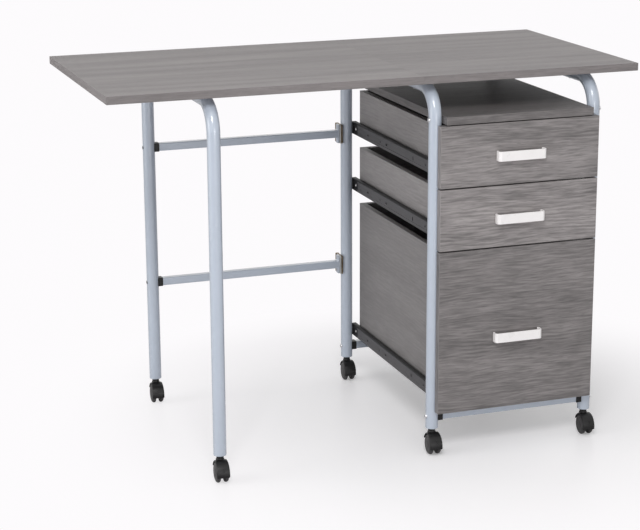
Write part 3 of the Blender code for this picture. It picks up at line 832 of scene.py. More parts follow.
@dataclass
class Board:
    """A board with banded edges, eased all round, and a grain of its own."""

    node: str
    body: str
    grain: Axis
    finish: Finish
    number: int
    # How much lighter or darker the whole board is made: painted light and shade
    tone: float = 1.0
    long_edge_tone: float = 1.0
    ease: float = 0.0008
    ease_steps: int = 3

    def build(self) -> None:
        """Model the board over its node, ease its edges and dress it."""
        low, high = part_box(self.node)
        panel = add_block(self.node + "_panel", low, high)
        ease_edges(panel, self.ease, self.ease_steps)
        self.finish_eased(panel)

    def finish_eased(self, item: Item) -> None:
        """Lay the grain of a board whose edges are eased, and dress it."""
        shade(item)
        self.lay_grain(item)
        dress(item, self.finish, self.body, self.node)

    def lay_grain(self, item: Item) -> None:
        """Write the UV map that the grain follows, the board's painted light and shade, and the eased
        edges.

        Args:
            item: The board, in its place.
        """
        mesh = item.data
        layer = mesh.uv_layers.get("grain") or mesh.uv_layers.new(name="grain")
        edge = mesh.attributes.new("edge_band", "FLOAT", "FACE")
        tone = mesh.attributes.new("board_tone", "FLOAT", "FACE")
        spans = item.dimensions
        shift = Vector([self.number * step for step in PRINT_STEP])
        for polygon in mesh.polygons:
            facing = max(range(3), key=lambda axis: abs(polygon.normal[axis]))
            edge.data[polygon.index].value = float(abs(polygon.normal[facing]) < FLAT)
            # Faces along Y, the long edges, are made lighter or darker again by long_edge_tone; on the
            # shelf that is painted shade
            on_long_edge = facing == Axis.Y.number
            tone.data[polygon.index].value = self.tone * (self.long_edge_tone if on_long_edge else 1.0)
            others = [axis for axis in range(3) if axis != facing]
            along = self.grain.number
            if along == facing:
                along = max(others, key=lambda axis: spans[axis])
            across = next(axis for axis in others if axis != along)
            offset = shift + Vector((0.0, facing * FACE_STEP))
            for loop in polygon.loop_indices:
                place = mesh.vertices[mesh.loops[loop].vertex_index].co
                layer.data[loop].uv = (place[along] + offset.x, place[across] + offset.y)


@dataclass
class Desktop:
    """The fixed top with its tongue and the swinging leaf with its groove."""

    tongue_reach: float = 0.008
    tongue_thickness: float = 0.005
    tongue_stop: float = 0.020
    clearance: float = 0.0005
    groove_room: float = 0.004
    edge: float = 0.0008
    seam_edge: float = 0.0002
    edge_steps: int = 3
    closing: float = 0.0004
    front_tone: float = 0.82

    def build(self) -> None:
        """Model both tops."""
        low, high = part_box("fixed_top")
        seam = low.x + self.tongue_reach - self.closing
        fixed = add_block("fixed_top_panel", (seam, low.y, low.z), high)
        self.work_seam(fixed, seam, self.tongue_thickness, 0.0, self.closing - self.tongue_reach, -1)
        self.ease(fixed, seam)
        Board(
            "fixed_top", PEDESTAL, Axis.X, OAK_TOP, number=1, long_edge_tone=self.front_tone
        ).finish_eased(fixed)
        low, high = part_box("leaf_top")
        seam = high.x + self.closing
        leaf = add_block("leaf_top_panel", low, (seam, high.y, high.z))
        groove = self.tongue_thickness + 2 * self.clearance
        depth = self.tongue_reach + self.clearance + self.closing
        self.work_seam(leaf, seam, groove, self.groove_room, -depth, 1)
        self.ease(leaf, seam)
        Board(
            "leaf_top", WING, Axis.X, OAK_TOP, number=2, long_edge_tone=self.front_tone
        ).finish_eased(leaf)

    def work_seam(
        self, item: Item, seam: float, height: float, room: float, depth: float, facing: int
    ) -> None:
        """Draw a tongue out of a board's end, or press a groove into it.

        Args:
            item: The board.
            seam: Place of the end along X.
            height: Height of the tongue or groove.
            room: How much longer than the tongue it is, at each end.
            depth: Step along X from the end to the tongue's tip or the groove's floor.
            facing: The way that the end faces along X.
        """
        corners = [Vector(corner) for corner in item.bound_box]
        low = min(corners, key=sum)
        high = max(corners, key=sum)
        middle = (low.z + high.z) / 2
        front = low.y + self.tongue_stop - room
        rear = high.y - self.tongue_stop + room

        def on_seam(face: Element) -> bool:
            """Say whether a face is where the tongue or groove goes."""
            spot = middle_of(face)
            inside = front < spot.y < rear and abs(spot.z - middle) < height / 2
            return inside and face.normal.x * facing > FACING

        with editing(item):
            for y in (front, rear):
                slice_whole((seam, y, middle), Axis.Y.direction)
            for z in (middle - height / 2, middle + height / 2):
                slice_whole((seam, front, z), Axis.Z.direction)
            pick(item, Part.FACE, on_seam)
            extrude((depth, 0.0, 0.0))

    def ease(self, item: Item, seam: float) -> None:
        """Ease the edges of a top, and those at the seam, given by its place along X, only a little."""
        reach = self.tongue_reach + 2 * self.clearance

        def at_seam(edge: Element) -> bool:
            """Say whether an edge belongs to the seam."""
            return all(abs(vert.co.x - seam) < reach for vert in edge.verts)

        def is_sharp(edge: Element) -> bool:
            """Say whether an edge needs easing."""
            return edge.calc_face_angle(0.0) > EDGE_ANGLE

        with editing(item):
            pick(item, Part.EDGE, lambda edge: is_sharp(edge) and not at_seam(edge))
            bevel(self.edge, self.edge_steps)
            pick(item, Part.EDGE, lambda edge: is_sharp(edge) and at_seam(edge))
            bevel(self.seam_edge, self.edge_steps)


# Tubes, rails and their fittings


@dataclass
class PostFrame:
    """A bent tube: front post, run under the desktop and rear post, with plugged feet."""

    node: str
    body: str
    wall: float = 0.0012
    bend: float = 0.055
    sides: int = 40
    bend_steps: int = 16
    ease: float = 0.0004
    plug_height: float = 0.012
    plug_lip: float = 0.0008
    socket_radius: float = 0.0058

    def __post_init__(self) -> None:
        """Read the frame's places from its node."""
        low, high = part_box(self.node)
        self.x = (low.x + high.x) / 2
        self.front = low.y + TUBE_RADIUS
        self.rear = high.y - TUBE_RADIUS
        self.bottom = low.z
        self.top = high.z - TUBE_RADIUS

    def build(self) -> None:
        """Bend the tube, plug its feet and dress them."""
        foot = (self.x, self.front, self.bottom)
        tube = add_ring(self.node + "_tube", TUBE_RADIUS, foot, self.sides)
        shoulder = self.top - self.bend
        rise = shoulder - self.bottom
        bend_axis = -Axis.X.direction
        with editing(tube):
            select_whole()
            extrude((0.0, 0.0, rise))
            spin(QUARTER_TURN, self.bend_steps, (self.x, self.front + self.bend, shoulder), bend_axis)
            extrude((0.0, self.rear - self.front - 2 * self.bend, 0.0))
            spin(QUARTER_TURN, self.bend_steps, (self.x, self.rear - self.bend, shoulder), bend_axis)
            extrude((0.0, 0.0, -rise))
            close_seams()
        thicken(tube, self.wall, -1.0)
        ease_edges(tube, self.ease)
        shade(tube)
        dress(tube, PAINT, self.body, self.node)
        for end in ("front", "rear"):
            self.add_plug(end)

    def add_plug(self, end: str) -> None:
        """Set a ring plug into the front or the rear foot, round the caster's stem."""
        inner = self.socket_radius
        outer = TUBE_RADIUS - self.wall - SEAT_GAP
        lip = self.plug_lip
        low = SEAT_GAP
        high = self.plug_height
        profile = [
            (inner, low + lip), (inner + lip, low), (outer - lip, low), (outer, low + lip), (outer, high),
            (inner, high), (inner, low + lip),
        ]
        plug = turn_profile(self.node + "_" + end + "_plug", profile, Axis.Z, self.sides)
        plug.data.transform(Matrix.Translation((self.x, getattr(self, end), self.bottom)))
        shade(plug)
        dress(plug, PLASTIC, self.body)


@dataclass
class SquareTube:
    """A square tube along X with rounded corners, and an end plate where it has one."""

    node: str
    body: str
    trim: float = 0.0
    plate: float = 0.0
    size: float = 0.016
    wall: float = 0.0012
    corner: float = 0.0022
    corner_steps: int = 5
    ease: float = 0.0003
    plate_corner: float = 0.003
    plate_steps: int = 4
    plate_ease: float = 0.0004
    bead: float = 0.0022
    bead_width: float = 0.98

    def build(self) -> None:
        """Draw the section, run it out, and weld on the plate."""
        low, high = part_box(self.node)
        middle = (low + high) / 2
        left = low.x + self.trim
        right = high.x - self.trim - self.plate
        tube = self.section(self.node + "_tube", left, middle)
        with editing(tube):
            select_whole()
            bpy.ops.mesh.delete(type="ONLY_FACE")
        run_out(tube, (right - left, 0.0, 0.0))
        thicken(tube, self.wall, -1.0)
        ease_edges(tube, self.ease)
        if self.plate:
            plate = draw_section("end_plate", right, low, high, self.plate_corner, self.plate_steps)
            run_out(plate, (self.plate, 0.0, 0.0))
            ease_edges(plate, self.plate_ease)
            tube = join([tube, plate, self.weld(right, middle)], tube.name)
        shade(tube)
        dress(tube, PAINT, self.body, self.node)

    def section(self, name: str, x: float, middle: Vector) -> Item:
        """Draw the tube's section about its middle, at a place along X."""
        half = Vector((0.0, self.size / 2, self.size / 2))
        return draw_section(name, x, middle - half, middle + half, self.corner, self.corner_steps)

    def weld(self, face: float, middle: Vector) -> Item:
        """Lay a weld bead over and under the tube, against the plate.

        Args:
            face: Where the plate starts along X.
            middle: Middle of the tube's section.

        Returns:
            The bead.
        """
        ring = self.section("weld", face, middle)
        run_out(ring, (-self.bead, 0.0, 0.0))
        share = 1.0 + 2 * self.bead / self.size
        with editing(ring):
            pick(ring, Part.VERT, lambda vert: abs(vert.co.x - face) < WELD_DISTANCE)
            bpy.ops.transform.resize(
                value=(1.0, self.bead_width, share), center_override=(face, middle.y, middle.z)
            )
        return ring


@dataclass
class SaddleSeat:
    """Where a saddle sits: its name and body, the post's axis there, and the way along X."""

    name: str
    body: str
    post: Vector
    way: int


@dataclass
class Saddles:
    """Plastic saddles that seat the square tubes' ends on the round posts."""

    size: float = 0.018
    length: float = 0.0075
    ease: float = 0.0016
    ease_steps: int = 4
    rim: float = 0.0010
    rim_step: float = 0.0005
    hollow_sides: int = 64
    last_ease: float = 0.0002

    def build(self, frames: dict[str, PostFrame]) -> None:
        """Model one saddle and set a copy at each rail's and bar's end.

        Args:
            frames: The post frames by row.
        """
        pattern = Pattern(self.model())
        for seat in self.seats(frames):
            turned = Matrix.Rotation(0.0 if seat.way > 0 else math.pi, 4, "Z")
            made = pattern.place(seat.name + "_moulding", Matrix.Translation(seat.post) @ turned)
            nodes = (seat.name,) if seat.name in frame["nodes"] else ()
            dress(made, PLASTIC, seat.body, *nodes)
        pattern.discard()

    def seats(self, frames: dict[str, PostFrame]) -> Iterator[SaddleSeat]:
        """Give the seats on the pedestal's posts and on the wing's rear post."""
        for end in ("front", "rear"):
            for side in Side:
                post = frames[side.word]
                place = Vector((post.x, getattr(post, end), level_of(end + "_bottom_rail")))
                yield SaddleSeat(f"{end}_rail_{side.word}_saddle", PEDESTAL, place, side.value)
        wing = frames["wing"]
        for level in ("upper", "lower"):
            bar = f"wing_{level}_bar"
            yield SaddleSeat(bar + "_saddle", WING, Vector((wing.x, wing.rear, level_of(bar))), 1)

    def model(self) -> Item:
        """Model a saddle that reaches along +X from a post at the origin.

        Returns:
            The saddle.
        """
        half = self.size / 2
        near = math.sqrt(TUBE_RADIUS**2 - half**2)
        far = TUBE_RADIUS + self.length
        saddle = add_block("saddle", (near, -half, -half), (far, half, half))

        def runs_along(edge: Element) -> bool:
            """Say whether an edge runs along X."""
            return abs((edge.verts[0].co - edge.verts[1].co).x) > self.length / 2

        with editing(saddle):
            pick(saddle, Part.EDGE, runs_along)
            bevel(self.ease, self.ease_steps)
            pick(saddle, Part.FACE, lambda face: face.normal.x > FACING)
            bpy.ops.mesh.inset(thickness=self.rim)
            extrude((self.rim_step, 0.0, 0.0))
        radius = TUBE_RADIUS + SEAT_GAP
        cut(saddle, add_rod("hollow", radius, 2 * self.size, ORIGIN, Axis.Z, self.hollow_sides))
        ease_edges(saddle, self.last_ease)
        shade(saddle)
        return saddle


@dataclass
class SwingHinge:
    """A butt hinge: a leaf on the post with the pin, and a leaf on the bar's plate."""

    level: str
    sheet: float = 0.002
    opening: float = 0.0012
    leaf_depth: float = 0.024
    barrel_radius: float = 0.004
    middle_knuckle: float = 0.0128
    knuckle_gap: float = 0.0005
    post_bands: Sequence[int] = (0, 4)
    bar_bands: Sequence[int] = (2,)
    curl_angle: float = math.radians(280)
    curl_steps: int = 14
    ease: float = 0.0003
    pin_radius: float = 0.0015
    pin_shortening: float = 0.002
    pin_sides: int = 20
    cap_radius: float = 0.0024
    cap_height: float = 0.0010
    cap_inset: float = 0.0006
    cap_ease: float = 0.0004
    cap_sides: int = 24
    screw_depth: float = 0.0165
    screw_height: float = 0.0125

    def build(self, screws: Pattern) -> None:
        """Model both leaves, with their screws, and dress them.

        Args:
            screws: The screw to set into the leaves.
        """
        post_name = self.level + "_hinge_post_leaf"
        bar_name = self.level + "_hinge_bar_leaf"
        low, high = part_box(post_name)
        pin = Vector((high.x - self.barrel_radius, high.y - self.barrel_radius, (low.z + high.z) / 2))
        half = (high.z - low.z) / 2
        split = self.middle_knuckle / 2
        bands = [-half, -split - self.knuckle_gap, -split, split, split + self.knuckle_gap, half]
        post = self.leaf(post_name, pin, 1, bands, self.post_bands)
        bar = self.leaf(bar_name, pin, -1, bands, self.bar_bands)
        post = join([post, *self.pin(pin, half)], post.name)
        # The post's leaf takes the zinc with painted shade, and the bar's leaf the zinc with painted
        # light
        sides = ((post, 1, PEDESTAL, post_name, ZINC_PAINTED_SHADE), (bar, -1, WING, bar_name, ZINC_PAINTED_LIGHT))
        for leaf, way, body, node, finish in sides:
            face = pin.x + way * self.opening / 2
            heads = [
                screws.point("head", (face, pin.y - self.screw_depth, pin.z + z), (-way, 0.0, 0.0))
                for z in (-self.screw_height, self.screw_height)
            ]
            leaf = join([leaf, *heads], leaf.name)
            shade(leaf)
            dress(leaf, finish, body, node)

    def pin(self, middle: Vector, half: float) -> list[Item]:
        """Model the pin about its middle, and a cap at each end of the barrel's half length."""
        length = 2 * half - self.pin_shortening
        made = [add_rod("pin", self.pin_radius, length, middle, Axis.Z, self.pin_sides)]
        for way in (-1, 1):
            place = middle + Vector((0, 0, way * (half - self.cap_inset)))
            cap = add_rod("cap", self.cap_radius, self.cap_height, place, Axis.Z, self.cap_sides)
            ease_edges(cap, self.cap_ease)
            made.append(cap)
        return made

    def leaf(self, name: str, pin: Vector, way: int, bands: Sequence[float], kept: Sequence[int]) -> Item:
        """Bend one leaf from sheet and curl its knuckles round the pin.

        Args:
            name: Name of the leaf's node.
            pin: Middle of the hinge's pin.
            way: 1 for the post's leaf and -1 for the bar's leaf.
            bands: Heights above the pin's middle that part the knuckles.
            kept: The bands that keep their knuckle.

        Returns:
            The leaf.
        """
        plate_x = way * (self.opening + self.sheet) / 2
        curl = self.barrel_radius - self.sheet / 2
        curl_y = -math.sqrt(curl**2 - plate_x**2)
        start_y = -self.barrel_radius - self.knuckle_gap
        base = pin.z + bands[0]
        flat = [
            (pin.x + plate_x, pin.y + y, base) for y in (start_y - self.leaf_depth, start_y, curl_y)
        ]

        def is_spare(face: Element) -> bool:
            """Say whether a face belongs to a knuckle that this leaf leaves out."""
            spot = middle_of(face)
            band = next(i for i, top in enumerate(bands[1:]) if spot.z - pin.z < top)
            return spot.y - pin.y > start_y + WELD_DISTANCE and band not in kept

        made = draw_line(name + "_plate", flat)
        with editing(made):
            pick(made, Part.VERT, lambda vert: abs(vert.co.y - pin.y - curl_y) < WELD_DISTANCE)
            spin(self.curl_angle, self.curl_steps, (pin.x, pin.y, base), (0, 0, way))
            select_whole()
            for start, end in zip(bands, bands[1:]):
                extrude((0.0, 0.0, end - start))
            pick(made, Part.FACE, is_spare)
            bpy.ops.mesh.delete(type="FACE")
            close_seams()
        thicken(made, self.sheet)
        ease_edges(made, self.ease)
        return made


# Drawers


@dataclass(frozen=True)
class Punch:
    """A hole in a slide: its place before the rear end, its radius, and its stretch along and up."""

    place: float
    radius: float
    along: float = 1.0
    up: float = 1.0


@dataclass
class Slide:
    """A drawer slide: the rail on the posts and the runner on the drawer's side."""

    drawer: str
    side: Side
    sheet: float = 0.0012
    corner: float = 0.0030
    corner_steps: int = 5
    rim: float = 0.0062
    press: float = 0.0009
    nip: float = 0.0050
    stop: float = 0.040
    screw_shares: Sequence[float] = (0.08, 0.45, 0.86)
    punch_depth: float = 0.0072
    punch_sides: int = 20
    punches: Sequence[Punch] = (
        Punch(0.027, 0.0031),
        Punch(0.101, 0.0022, along=1.8),
        Punch(0.172, 0.0021),
        Punch(0.207, 0.0023, along=2.1),
        Punch(0.350, 0.0022, up=2.0),
        Punch(0.415, 0.0021),
    )

    def build(self, screws: Pattern) -> None:
        """Fold both channels, punch them, and set the runner's screws.

        Args:
            screws: The screw that holds the runner.
        """
        prefix = self.drawer + "_drawer_" + self.side.word
        inward = self.side.value
        rail = self.channel(prefix + "_rail", inward)
        shade(rail)
        dress(rail, SLIDE_STEEL, PEDESTAL, prefix + "_rail")
        runner = self.channel(prefix + "_runner", -inward)
        low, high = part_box(prefix + "_runner")
        face = (high.x if inward > 0 else low.x) - inward * self.sheet
        height = (low.z + high.z) / 2
        heads = [
            screws.point("head", (face, low.y + share * (high.y - low.y), height), (-inward, 0.0, 0.0))
            for share in self.screw_shares
        ]
        runner = join([runner, *heads], runner.name)
        shade(runner)
        dress(runner, SLIDE_STEEL, self.drawer + "_drawer", prefix + "_runner")

    def channel(self, node: str, way: int) -> Item:
        """Fold a channel whose lips point along X.

        Args:
            node: Name of the channel's node.
            way: The way that the lips point along X.

        Returns:
            The channel, punched.
        """
        low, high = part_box(node)
        inset = self.sheet / 2
        back = (low.x + inset) if way > 0 else (high.x - inset)
        tip = high.x if way > 0 else low.x
        bottom = low.z + inset
        top = high.z - inset
        pressed = back + way * self.press
        section = [(tip, low.y, bottom), (back, low.y, bottom), (back, low.y, top), (tip, low.y, top)]
        outline = round_path(section, self.corner, self.corner_steps)
        waist = [
            (back, bottom + self.rim), (pressed, bottom + self.rim + self.press),
            (pressed, top - self.rim - self.press), (back, top - self.rim),
        ]
        half = len(outline) // 2
        outline[half:half] = [Vector((x, low.y, z)) for x, z in waist]
        made = draw_line(node + "_channel", outline)
        run_out(made, (0.0, high.y - low.y, 0.0))
        with editing(made):
            for end, level in ((top, 1.0), (bottom, -1.0)):
                slice_whole((back, high.y - self.nip, end), (0.0, 1.0, level), clear_outer=True)
            slice_whole((back, high.y - self.stop, top), Axis.Y.direction)
        thicken(made, self.sheet)
        for punch in self.punches:
            tool = add_rod("punch", punch.radius, self.punch_depth, ORIGIN, Axis.X, self.punch_sides)
            stretch = Matrix.Diagonal((1.0, punch.along, punch.up, 1.0))
            place = Matrix.Translation((back, high.y - punch.place, (low.z + high.z) / 2))
            tool.data.transform(place @ stretch)
            cut(made, tool)
        self.mark_rims(made, low, high)
        return made

    def mark_rims(self, item: Item, low: Vector, high: Vector) -> None:
        """Mark a channel's rolled rims and its rear stop for painted shade, which makes them darker than
        its web: painted shade along the rims, and at the rear stop both a dark end piece and the painted
        shadow of the rear post.

        Args:
            item: The channel.
            low: Lowest corner of the node.
            high: Highest corner of the node.
        """
        edge = item.data.attributes.new("edge_band", "FLOAT", "FACE")
        for polygon in item.data.polygons:
            spot = polygon.center
            on_rim = min(spot.z - low.z, high.z - spot.z) < self.corner
            edge.data[polygon.index].value = float(on_rim or spot.y > high.y - self.stop)


@dataclass
class Pull:
    """A bow pull bent from flat strip, with feet against the drawer's front."""

    drawer: str
    sheet: float = 0.003
    corner: float = 0.0048
    corner_steps: int = 7
    foot: float = 0.0030
    foot_bend: float = 0.0017
    foot_steps: int = 3
    ease: float = 0.0008
    ease_steps: int = 3

    def build(self) -> None:
        """Bend the strip and dress it."""
        node = self.drawer + "_drawer_pull"
        low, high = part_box(node)
        inset = self.sheet / 2
        left = low.x + inset
        right = high.x - inset
        back = high.y - inset
        grip = low.y + inset
        line = [
            (left + self.foot, back, low.z), (left, back, low.z), (left, grip, low.z),
            (right, grip, low.z), (right, back, low.z), (right - self.foot, back, low.z),
        ]
        bent = round_path(line[:3], self.foot_bend, self.foot_steps)[:-1]
        for first in (1, 2):
            bent += round_path(line[first:first + 3], self.corner, self.corner_steps)[1:-1]
        bent += round_path(line[3:], self.foot_bend, self.foot_steps)[1:]
        strap = draw_line(node + "_strap", bent)
        run_out(strap, (0.0, 0.0, high.z - low.z))
        thicken(strap, self.sheet)
        ease_edges(strap, self.ease, self.ease_steps)
        shade(strap)
        dress(strap, SATIN_WHITE, self.drawer + "_drawer", node)


@dataclass
class Drawer:
    """A drawer: its front, box, pull, slides, and the fixings that show when it is open."""

    name: str
    number: int
    # Painted light and shade: how much lighter or darker the front, the box's sides and the bottom are
    # made
    front_tone: float
    side_tone: float
    bottom_tone: float = 1.0
    numbers_apart: int = 7
    screw_inset: float = 0.0035
    cam_depth: float = 0.034
    cam_low: float = 0.028
    cam_high: float = 0.022

    def build(self, bolts: Pattern, screws: Pattern, cams: Pattern) -> None:
        """Model the drawer.

        Args:
            bolts: The domed bolt that holds the pull from behind.
            screws: The screw of the runners.
            cams: The cam fitting of the box's corners.
        """
        body = self.name + "_drawer"
        boards = (
            ("front", Axis.X, OAK_FACE, self.front_tone),
            ("left_side", Axis.Y, OAK_BOX, self.side_tone),
            ("right_side", Axis.Y, OAK_BOX, self.side_tone),
            ("back", Axis.X, OAK_BOX, self.side_tone),
            ("bottom", Axis.Y, OAK_BOX, self.bottom_tone),
        )
        first = self.number * self.numbers_apart
        for number, (piece, grain, finish, tone) in enumerate(boards, start=first):
            Board(body + "_" + piece, body, grain, finish, number, tone).build()
        Pull(self.name).build()
        for side in Side:
            Slide(self.name, side).build(screws)
        self.add_fixings(bolts, cams)

    def add_fixings(self, bolts: Pattern, cams: Pattern) -> None:
        """Set the pull's bolts behind the front and the cams inside the box.

        Args:
            bolts: The domed bolt that holds the pull from behind.
            cams: The cam fitting of the box's corners.
        """
        body = self.name + "_drawer"
        low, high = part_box(body + "_pull")
        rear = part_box(body + "_front")[1].y
        heads = [
            bolts.point("head", (x, rear, (low.z + high.z) / 2), Axis.Y.direction)
            for x in (low.x + self.screw_inset, high.x - self.screw_inset)
        ]
        dress(join(heads, body + "_pull_screws"), BRIGHT_STEEL, body)
        fittings = []
        for side in Side:
            low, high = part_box(body + "_" + side.word + "_side")
            inner = high.x if side is Side.LEFT else low.x
            for z in (low.z + self.cam_low, high.z - self.cam_high):
                place = (inner, low.y + self.cam_depth, z)
                fittings.append(cams.point("cam", place, (side.value, 0.0, 0.0)))
        dress(join(fittings, body + "_cams"), BRIGHT_STEEL, body)


# Casters


@dataclass
class Casters:
    """Twin-wheel casters: a hooded fork on a stem, and two domed wheels on an axle.

    The profiles are pairs of a radius and an offset along the axis; the hood's pairs are the other
    way round, from its rim to its crown.
    """

    wheel_radius: float = 0.020
    trail: float = 0.010
    yaw: float = math.radians(-4.5)
    steps: int = 48
    stem_profile: Sequence[tuple[float, float]] = (
        (0.0, 0.0370), (0.0084, 0.0370), (0.0082, 0.0428), (0.0075, 0.0437), (0.0070, 0.0450),
        (0.0070, 0.0498), (0.0065, 0.0505), (0.0055, 0.0506), (0.0055, 0.0790), (0.0046, 0.0808),
        (0.0, 0.0810),
    )
    wheel_profile: Sequence[tuple[float, float]] = (
        (0.0, 0.0038), (0.0165, 0.0038), (0.0182, 0.0042), (0.0194, 0.0051), (0.0200, 0.0066),
        (0.0199, 0.0083), (0.0193, 0.0099), (0.0179, 0.0113), (0.0157, 0.0123), (0.0142, 0.0127),
        (0.0134, 0.0125), (0.0130, 0.0121), (0.0084, 0.0123), (0.0078, 0.0128), (0.0060, 0.0131),
        (0.0, 0.0131),
    )
    axle_radius: float = 0.003
    axle_length: float = 0.0084
    axle_sides: int = 24
    hood_half: Sequence[tuple[float, float]] = (
        (0.0128, 0.0207), (0.0125, 0.0221), (0.0114, 0.0231), (0.0068, 0.0235),
    )
    hood_crown: float = 0.0236
    hood_sheet: float = 0.0020
    hood_narrowing: float = 0.06
    hood_power: int = 3
    hood_start: float = math.radians(-12)
    hood_end: float = math.radians(160)
    hood_steps: int = 24
    hood_ease: float = 0.0004
    recess_low: Point = (-0.0022, -0.030, -0.0036)
    recess_high: Point = (0.0022, -0.0213, 0.0036)
    recess_ease: float = 0.0012
    recess_lean: float = math.radians(-24)
    web: float = 0.006
    web_radius: float = 0.0226
    web_reach: float = 0.012
    web_slope: float = 0.35
    web_ease: float = 0.0006

    def build(self, frames: dict[str, PostFrame]) -> None:
        """Model one fork and one pair of wheels, and set copies under every post.

        Args:
            frames: The post frames by row.
        """
        fork = Pattern(self.fork())
        wheels = Pattern(self.wheels())
        for row, post in frames.items():
            for end in ("front", "rear"):
                name = f"{row}_{end}_caster"
                place = Matrix.Translation((post.x, getattr(post, end), 0.0))
                stand = place @ Matrix.Rotation(self.yaw, 4, "Z")
                moulding = fork.place(name + "_fork_moulding", stand)
                dress(moulding, PLASTIC, name + "_swivel", name + "_fork")
                pair = wheels.place(name + "_wheels_pair", stand)
                dress(pair, WHEEL_PLASTIC_PAINTED_LIGHT, name + "_roll", name + "_wheels")
        fork.discard()
        wheels.discard()

    @property
    def axle(self) -> Vector:
        """Middle of the axle, from the foot of the stem's axis."""
        return Vector((0.0, -self.trail, self.wheel_radius))

    def fork(self) -> Item:
        """Model the hood, the web, the neck and the stem, about the foot of the stem's axis."""
        stem = turn_profile("stem", self.stem_profile, Axis.Z, self.steps)
        made = join([self.hood(), self.web_plate(), stem], "fork")
        shade(made)
        return made

    def hood(self) -> Item:
        """Spin the crowned hood over the wheels, narrow its top and press its recess.

        Returns:
            The hood.
        """
        left = [(-x, radius) for x, radius in self.hood_half]
        right = [(x, radius) for x, radius in reversed(self.hood_half)]
        start = math.pi - self.hood_start
        sweep = self.hood_end - self.hood_start
        axle = self.axle
        line = [
            axle + Vector((x, radius * math.cos(start), radius * math.sin(start)))
            for x, radius in [*left, (0.0, self.hood_crown), *right]
        ]
        hood = draw_line("hood", line)
        with editing(hood):
            select_whole()
            spin(sweep, self.hood_steps, axle, -Axis.X.direction)
            close_seams()
            for step in range(self.hood_steps + 1):
                angle = start - sweep * step / self.hood_steps
                ray = Vector((0.0, math.cos(angle), math.sin(angle)))

                def on_ring(vert: Element, ray: Vector = ray) -> bool:
                    """Say whether a point lies along the ray from the axle."""
                    spoke = Vector((0.0, vert.co.y - axle.y, vert.co.z - axle.z))
                    return spoke.normalized().dot(ray) > 1.0 - WELD_DISTANCE

                pick(hood, Part.VERT, on_ring)
                rise = max(0.0, math.sin(angle))
                width = 1.0 - self.hood_narrowing * rise**self.hood_power
                bpy.ops.transform.resize(value=(width, 1.0, 1.0), center_override=axle)
        thicken(hood, self.hood_sheet, -1.0)
        ease_edges(hood, self.hood_ease)
        recess = add_block("recess", self.recess_low, self.recess_high)
        ease_edges(recess, self.recess_ease)
        recess.data.transform(Matrix.Translation(axle) @ Matrix.Rotation(self.recess_lean, 4, "X"))
        cut(hood, recess)
        return hood

    def web_plate(self) -> Item:
        """Cut the web between the wheels, open towards the floor."""
        plate = add_rod("web", self.web_radius, self.web, self.axle, Axis.X, self.steps)
        tip = self.axle - Vector((0.0, 0.0, self.web_reach))
        with editing(plate):
            for slope in (-self.web_slope, self.web_slope):
                slice_whole(tip, (0.0, slope, -1.0), use_fill=True, clear_outer=True)
            close_seams()
        ease_edges(plate, self.web_ease)
        return plate

    def wheels(self) -> Item:
        """Turn one domed wheel, set its twin beside it, and join them by the axle.

        Returns:
            The pair about the foot of the stem's axis.
        """
        right = turn_profile("wheel", self.wheel_profile, Axis.X, self.steps)
        left = Pattern(right).place("wheel", Matrix.Rotation(math.pi, 4, "Z"))
        axle = add_rod("axle", self.axle_radius, self.axle_length, ORIGIN, Axis.X, self.axle_sides)
        pair = join([right, left, axle], "wheels")
        pair.data.transform(Matrix.Translation(self.axle))
        shade(pair)
        return pair


# Fasteners


@dataclass(frozen=True)
class Head:
    """A round head: its radius, its height above its seat, and how far in its top edge is eased."""

    name: str
    radius: float
    height: float
    dome: float
    dome_steps: int = 4
    sink: float = 0.0010
    sides: int = 28

    def model(self) -> Item:
        """Model the head with its seat at the origin and a short shank sunk below it."""
        middle = (0.0, 0.0, (self.height - self.sink) / 2)
        made = add_rod(self.name, self.radius, self.height + self.sink, middle, Axis.Z, self.sides)

        def at_top(edge: Element) -> bool:
            """Say whether an edge lies round the top."""
            return all(vert.co.z > self.height - WELD_DISTANCE for vert in edge.verts)

        with editing(made):
            pick(made, Part.EDGE, at_top)
            bevel(self.dome, self.dome_steps)
        return made


@dataclass
class Fasteners:
    """Bolts, screws and cams, modelled once and copied."""

    bolt_head: Head = Head("bolt", 0.0046, 0.0026, 0.0016)
    socket_radius: float = 0.0021
    socket_length: float = 0.0030
    socket_lift: float = 0.0002
    socket_sides: int = 6
    screw_head: Head = Head("screw", 0.0036, 0.0010, 0.0006)
    screw_cross: tuple[float, float] = (0.0017, 0.0004)
    screw_floor: float = 0.5
    cam_head: Head = Head("cam", 0.0074, 0.0005, 0.0003)
    cam_cross: tuple[float, float] = (0.0042, 0.0008)
    cam_floor: float = 0.25

    def bolt(self) -> Pattern:
        """Model a domed bolt head with a hexagon socket."""
        head = self.bolt_head.model()
        place = (0.0, 0.0, self.bolt_head.height + self.socket_lift)
        socket = add_rod(
            "socket", self.socket_radius, self.socket_length, place, Axis.Z, self.socket_sides
        )
        cut(head, socket)
        shade(head)
        return Pattern(head)

    def screw(self) -> Pattern:
        """Model a low screw head with a cross recess."""
        return self.crossed(self.screw_head, self.screw_cross, self.screw_floor)

    def cam(self) -> Pattern:
        """Model a cam fitting that lies almost flush in a board."""
        return self.crossed(self.cam_head, self.cam_cross, self.cam_floor)

    def crossed(self, head: Head, cross: tuple[float, float], floor: float) -> Pattern:
        """Cut a cross recess into a head.

        Args:
            head: The head to model.
            cross: Half length and half width of the cross's arms.
            floor: Share of the head's height at which the recess ends.

        Returns:
            The head's pattern.
        """
        made = head.model()
        for x, y in (cross, reversed(cross)):
            low = (-x, -y, head.height * floor)
            cut(made, add_block("slot", low, (x, y, head.height * 2)))
        shade(made)
        return Pattern(made)


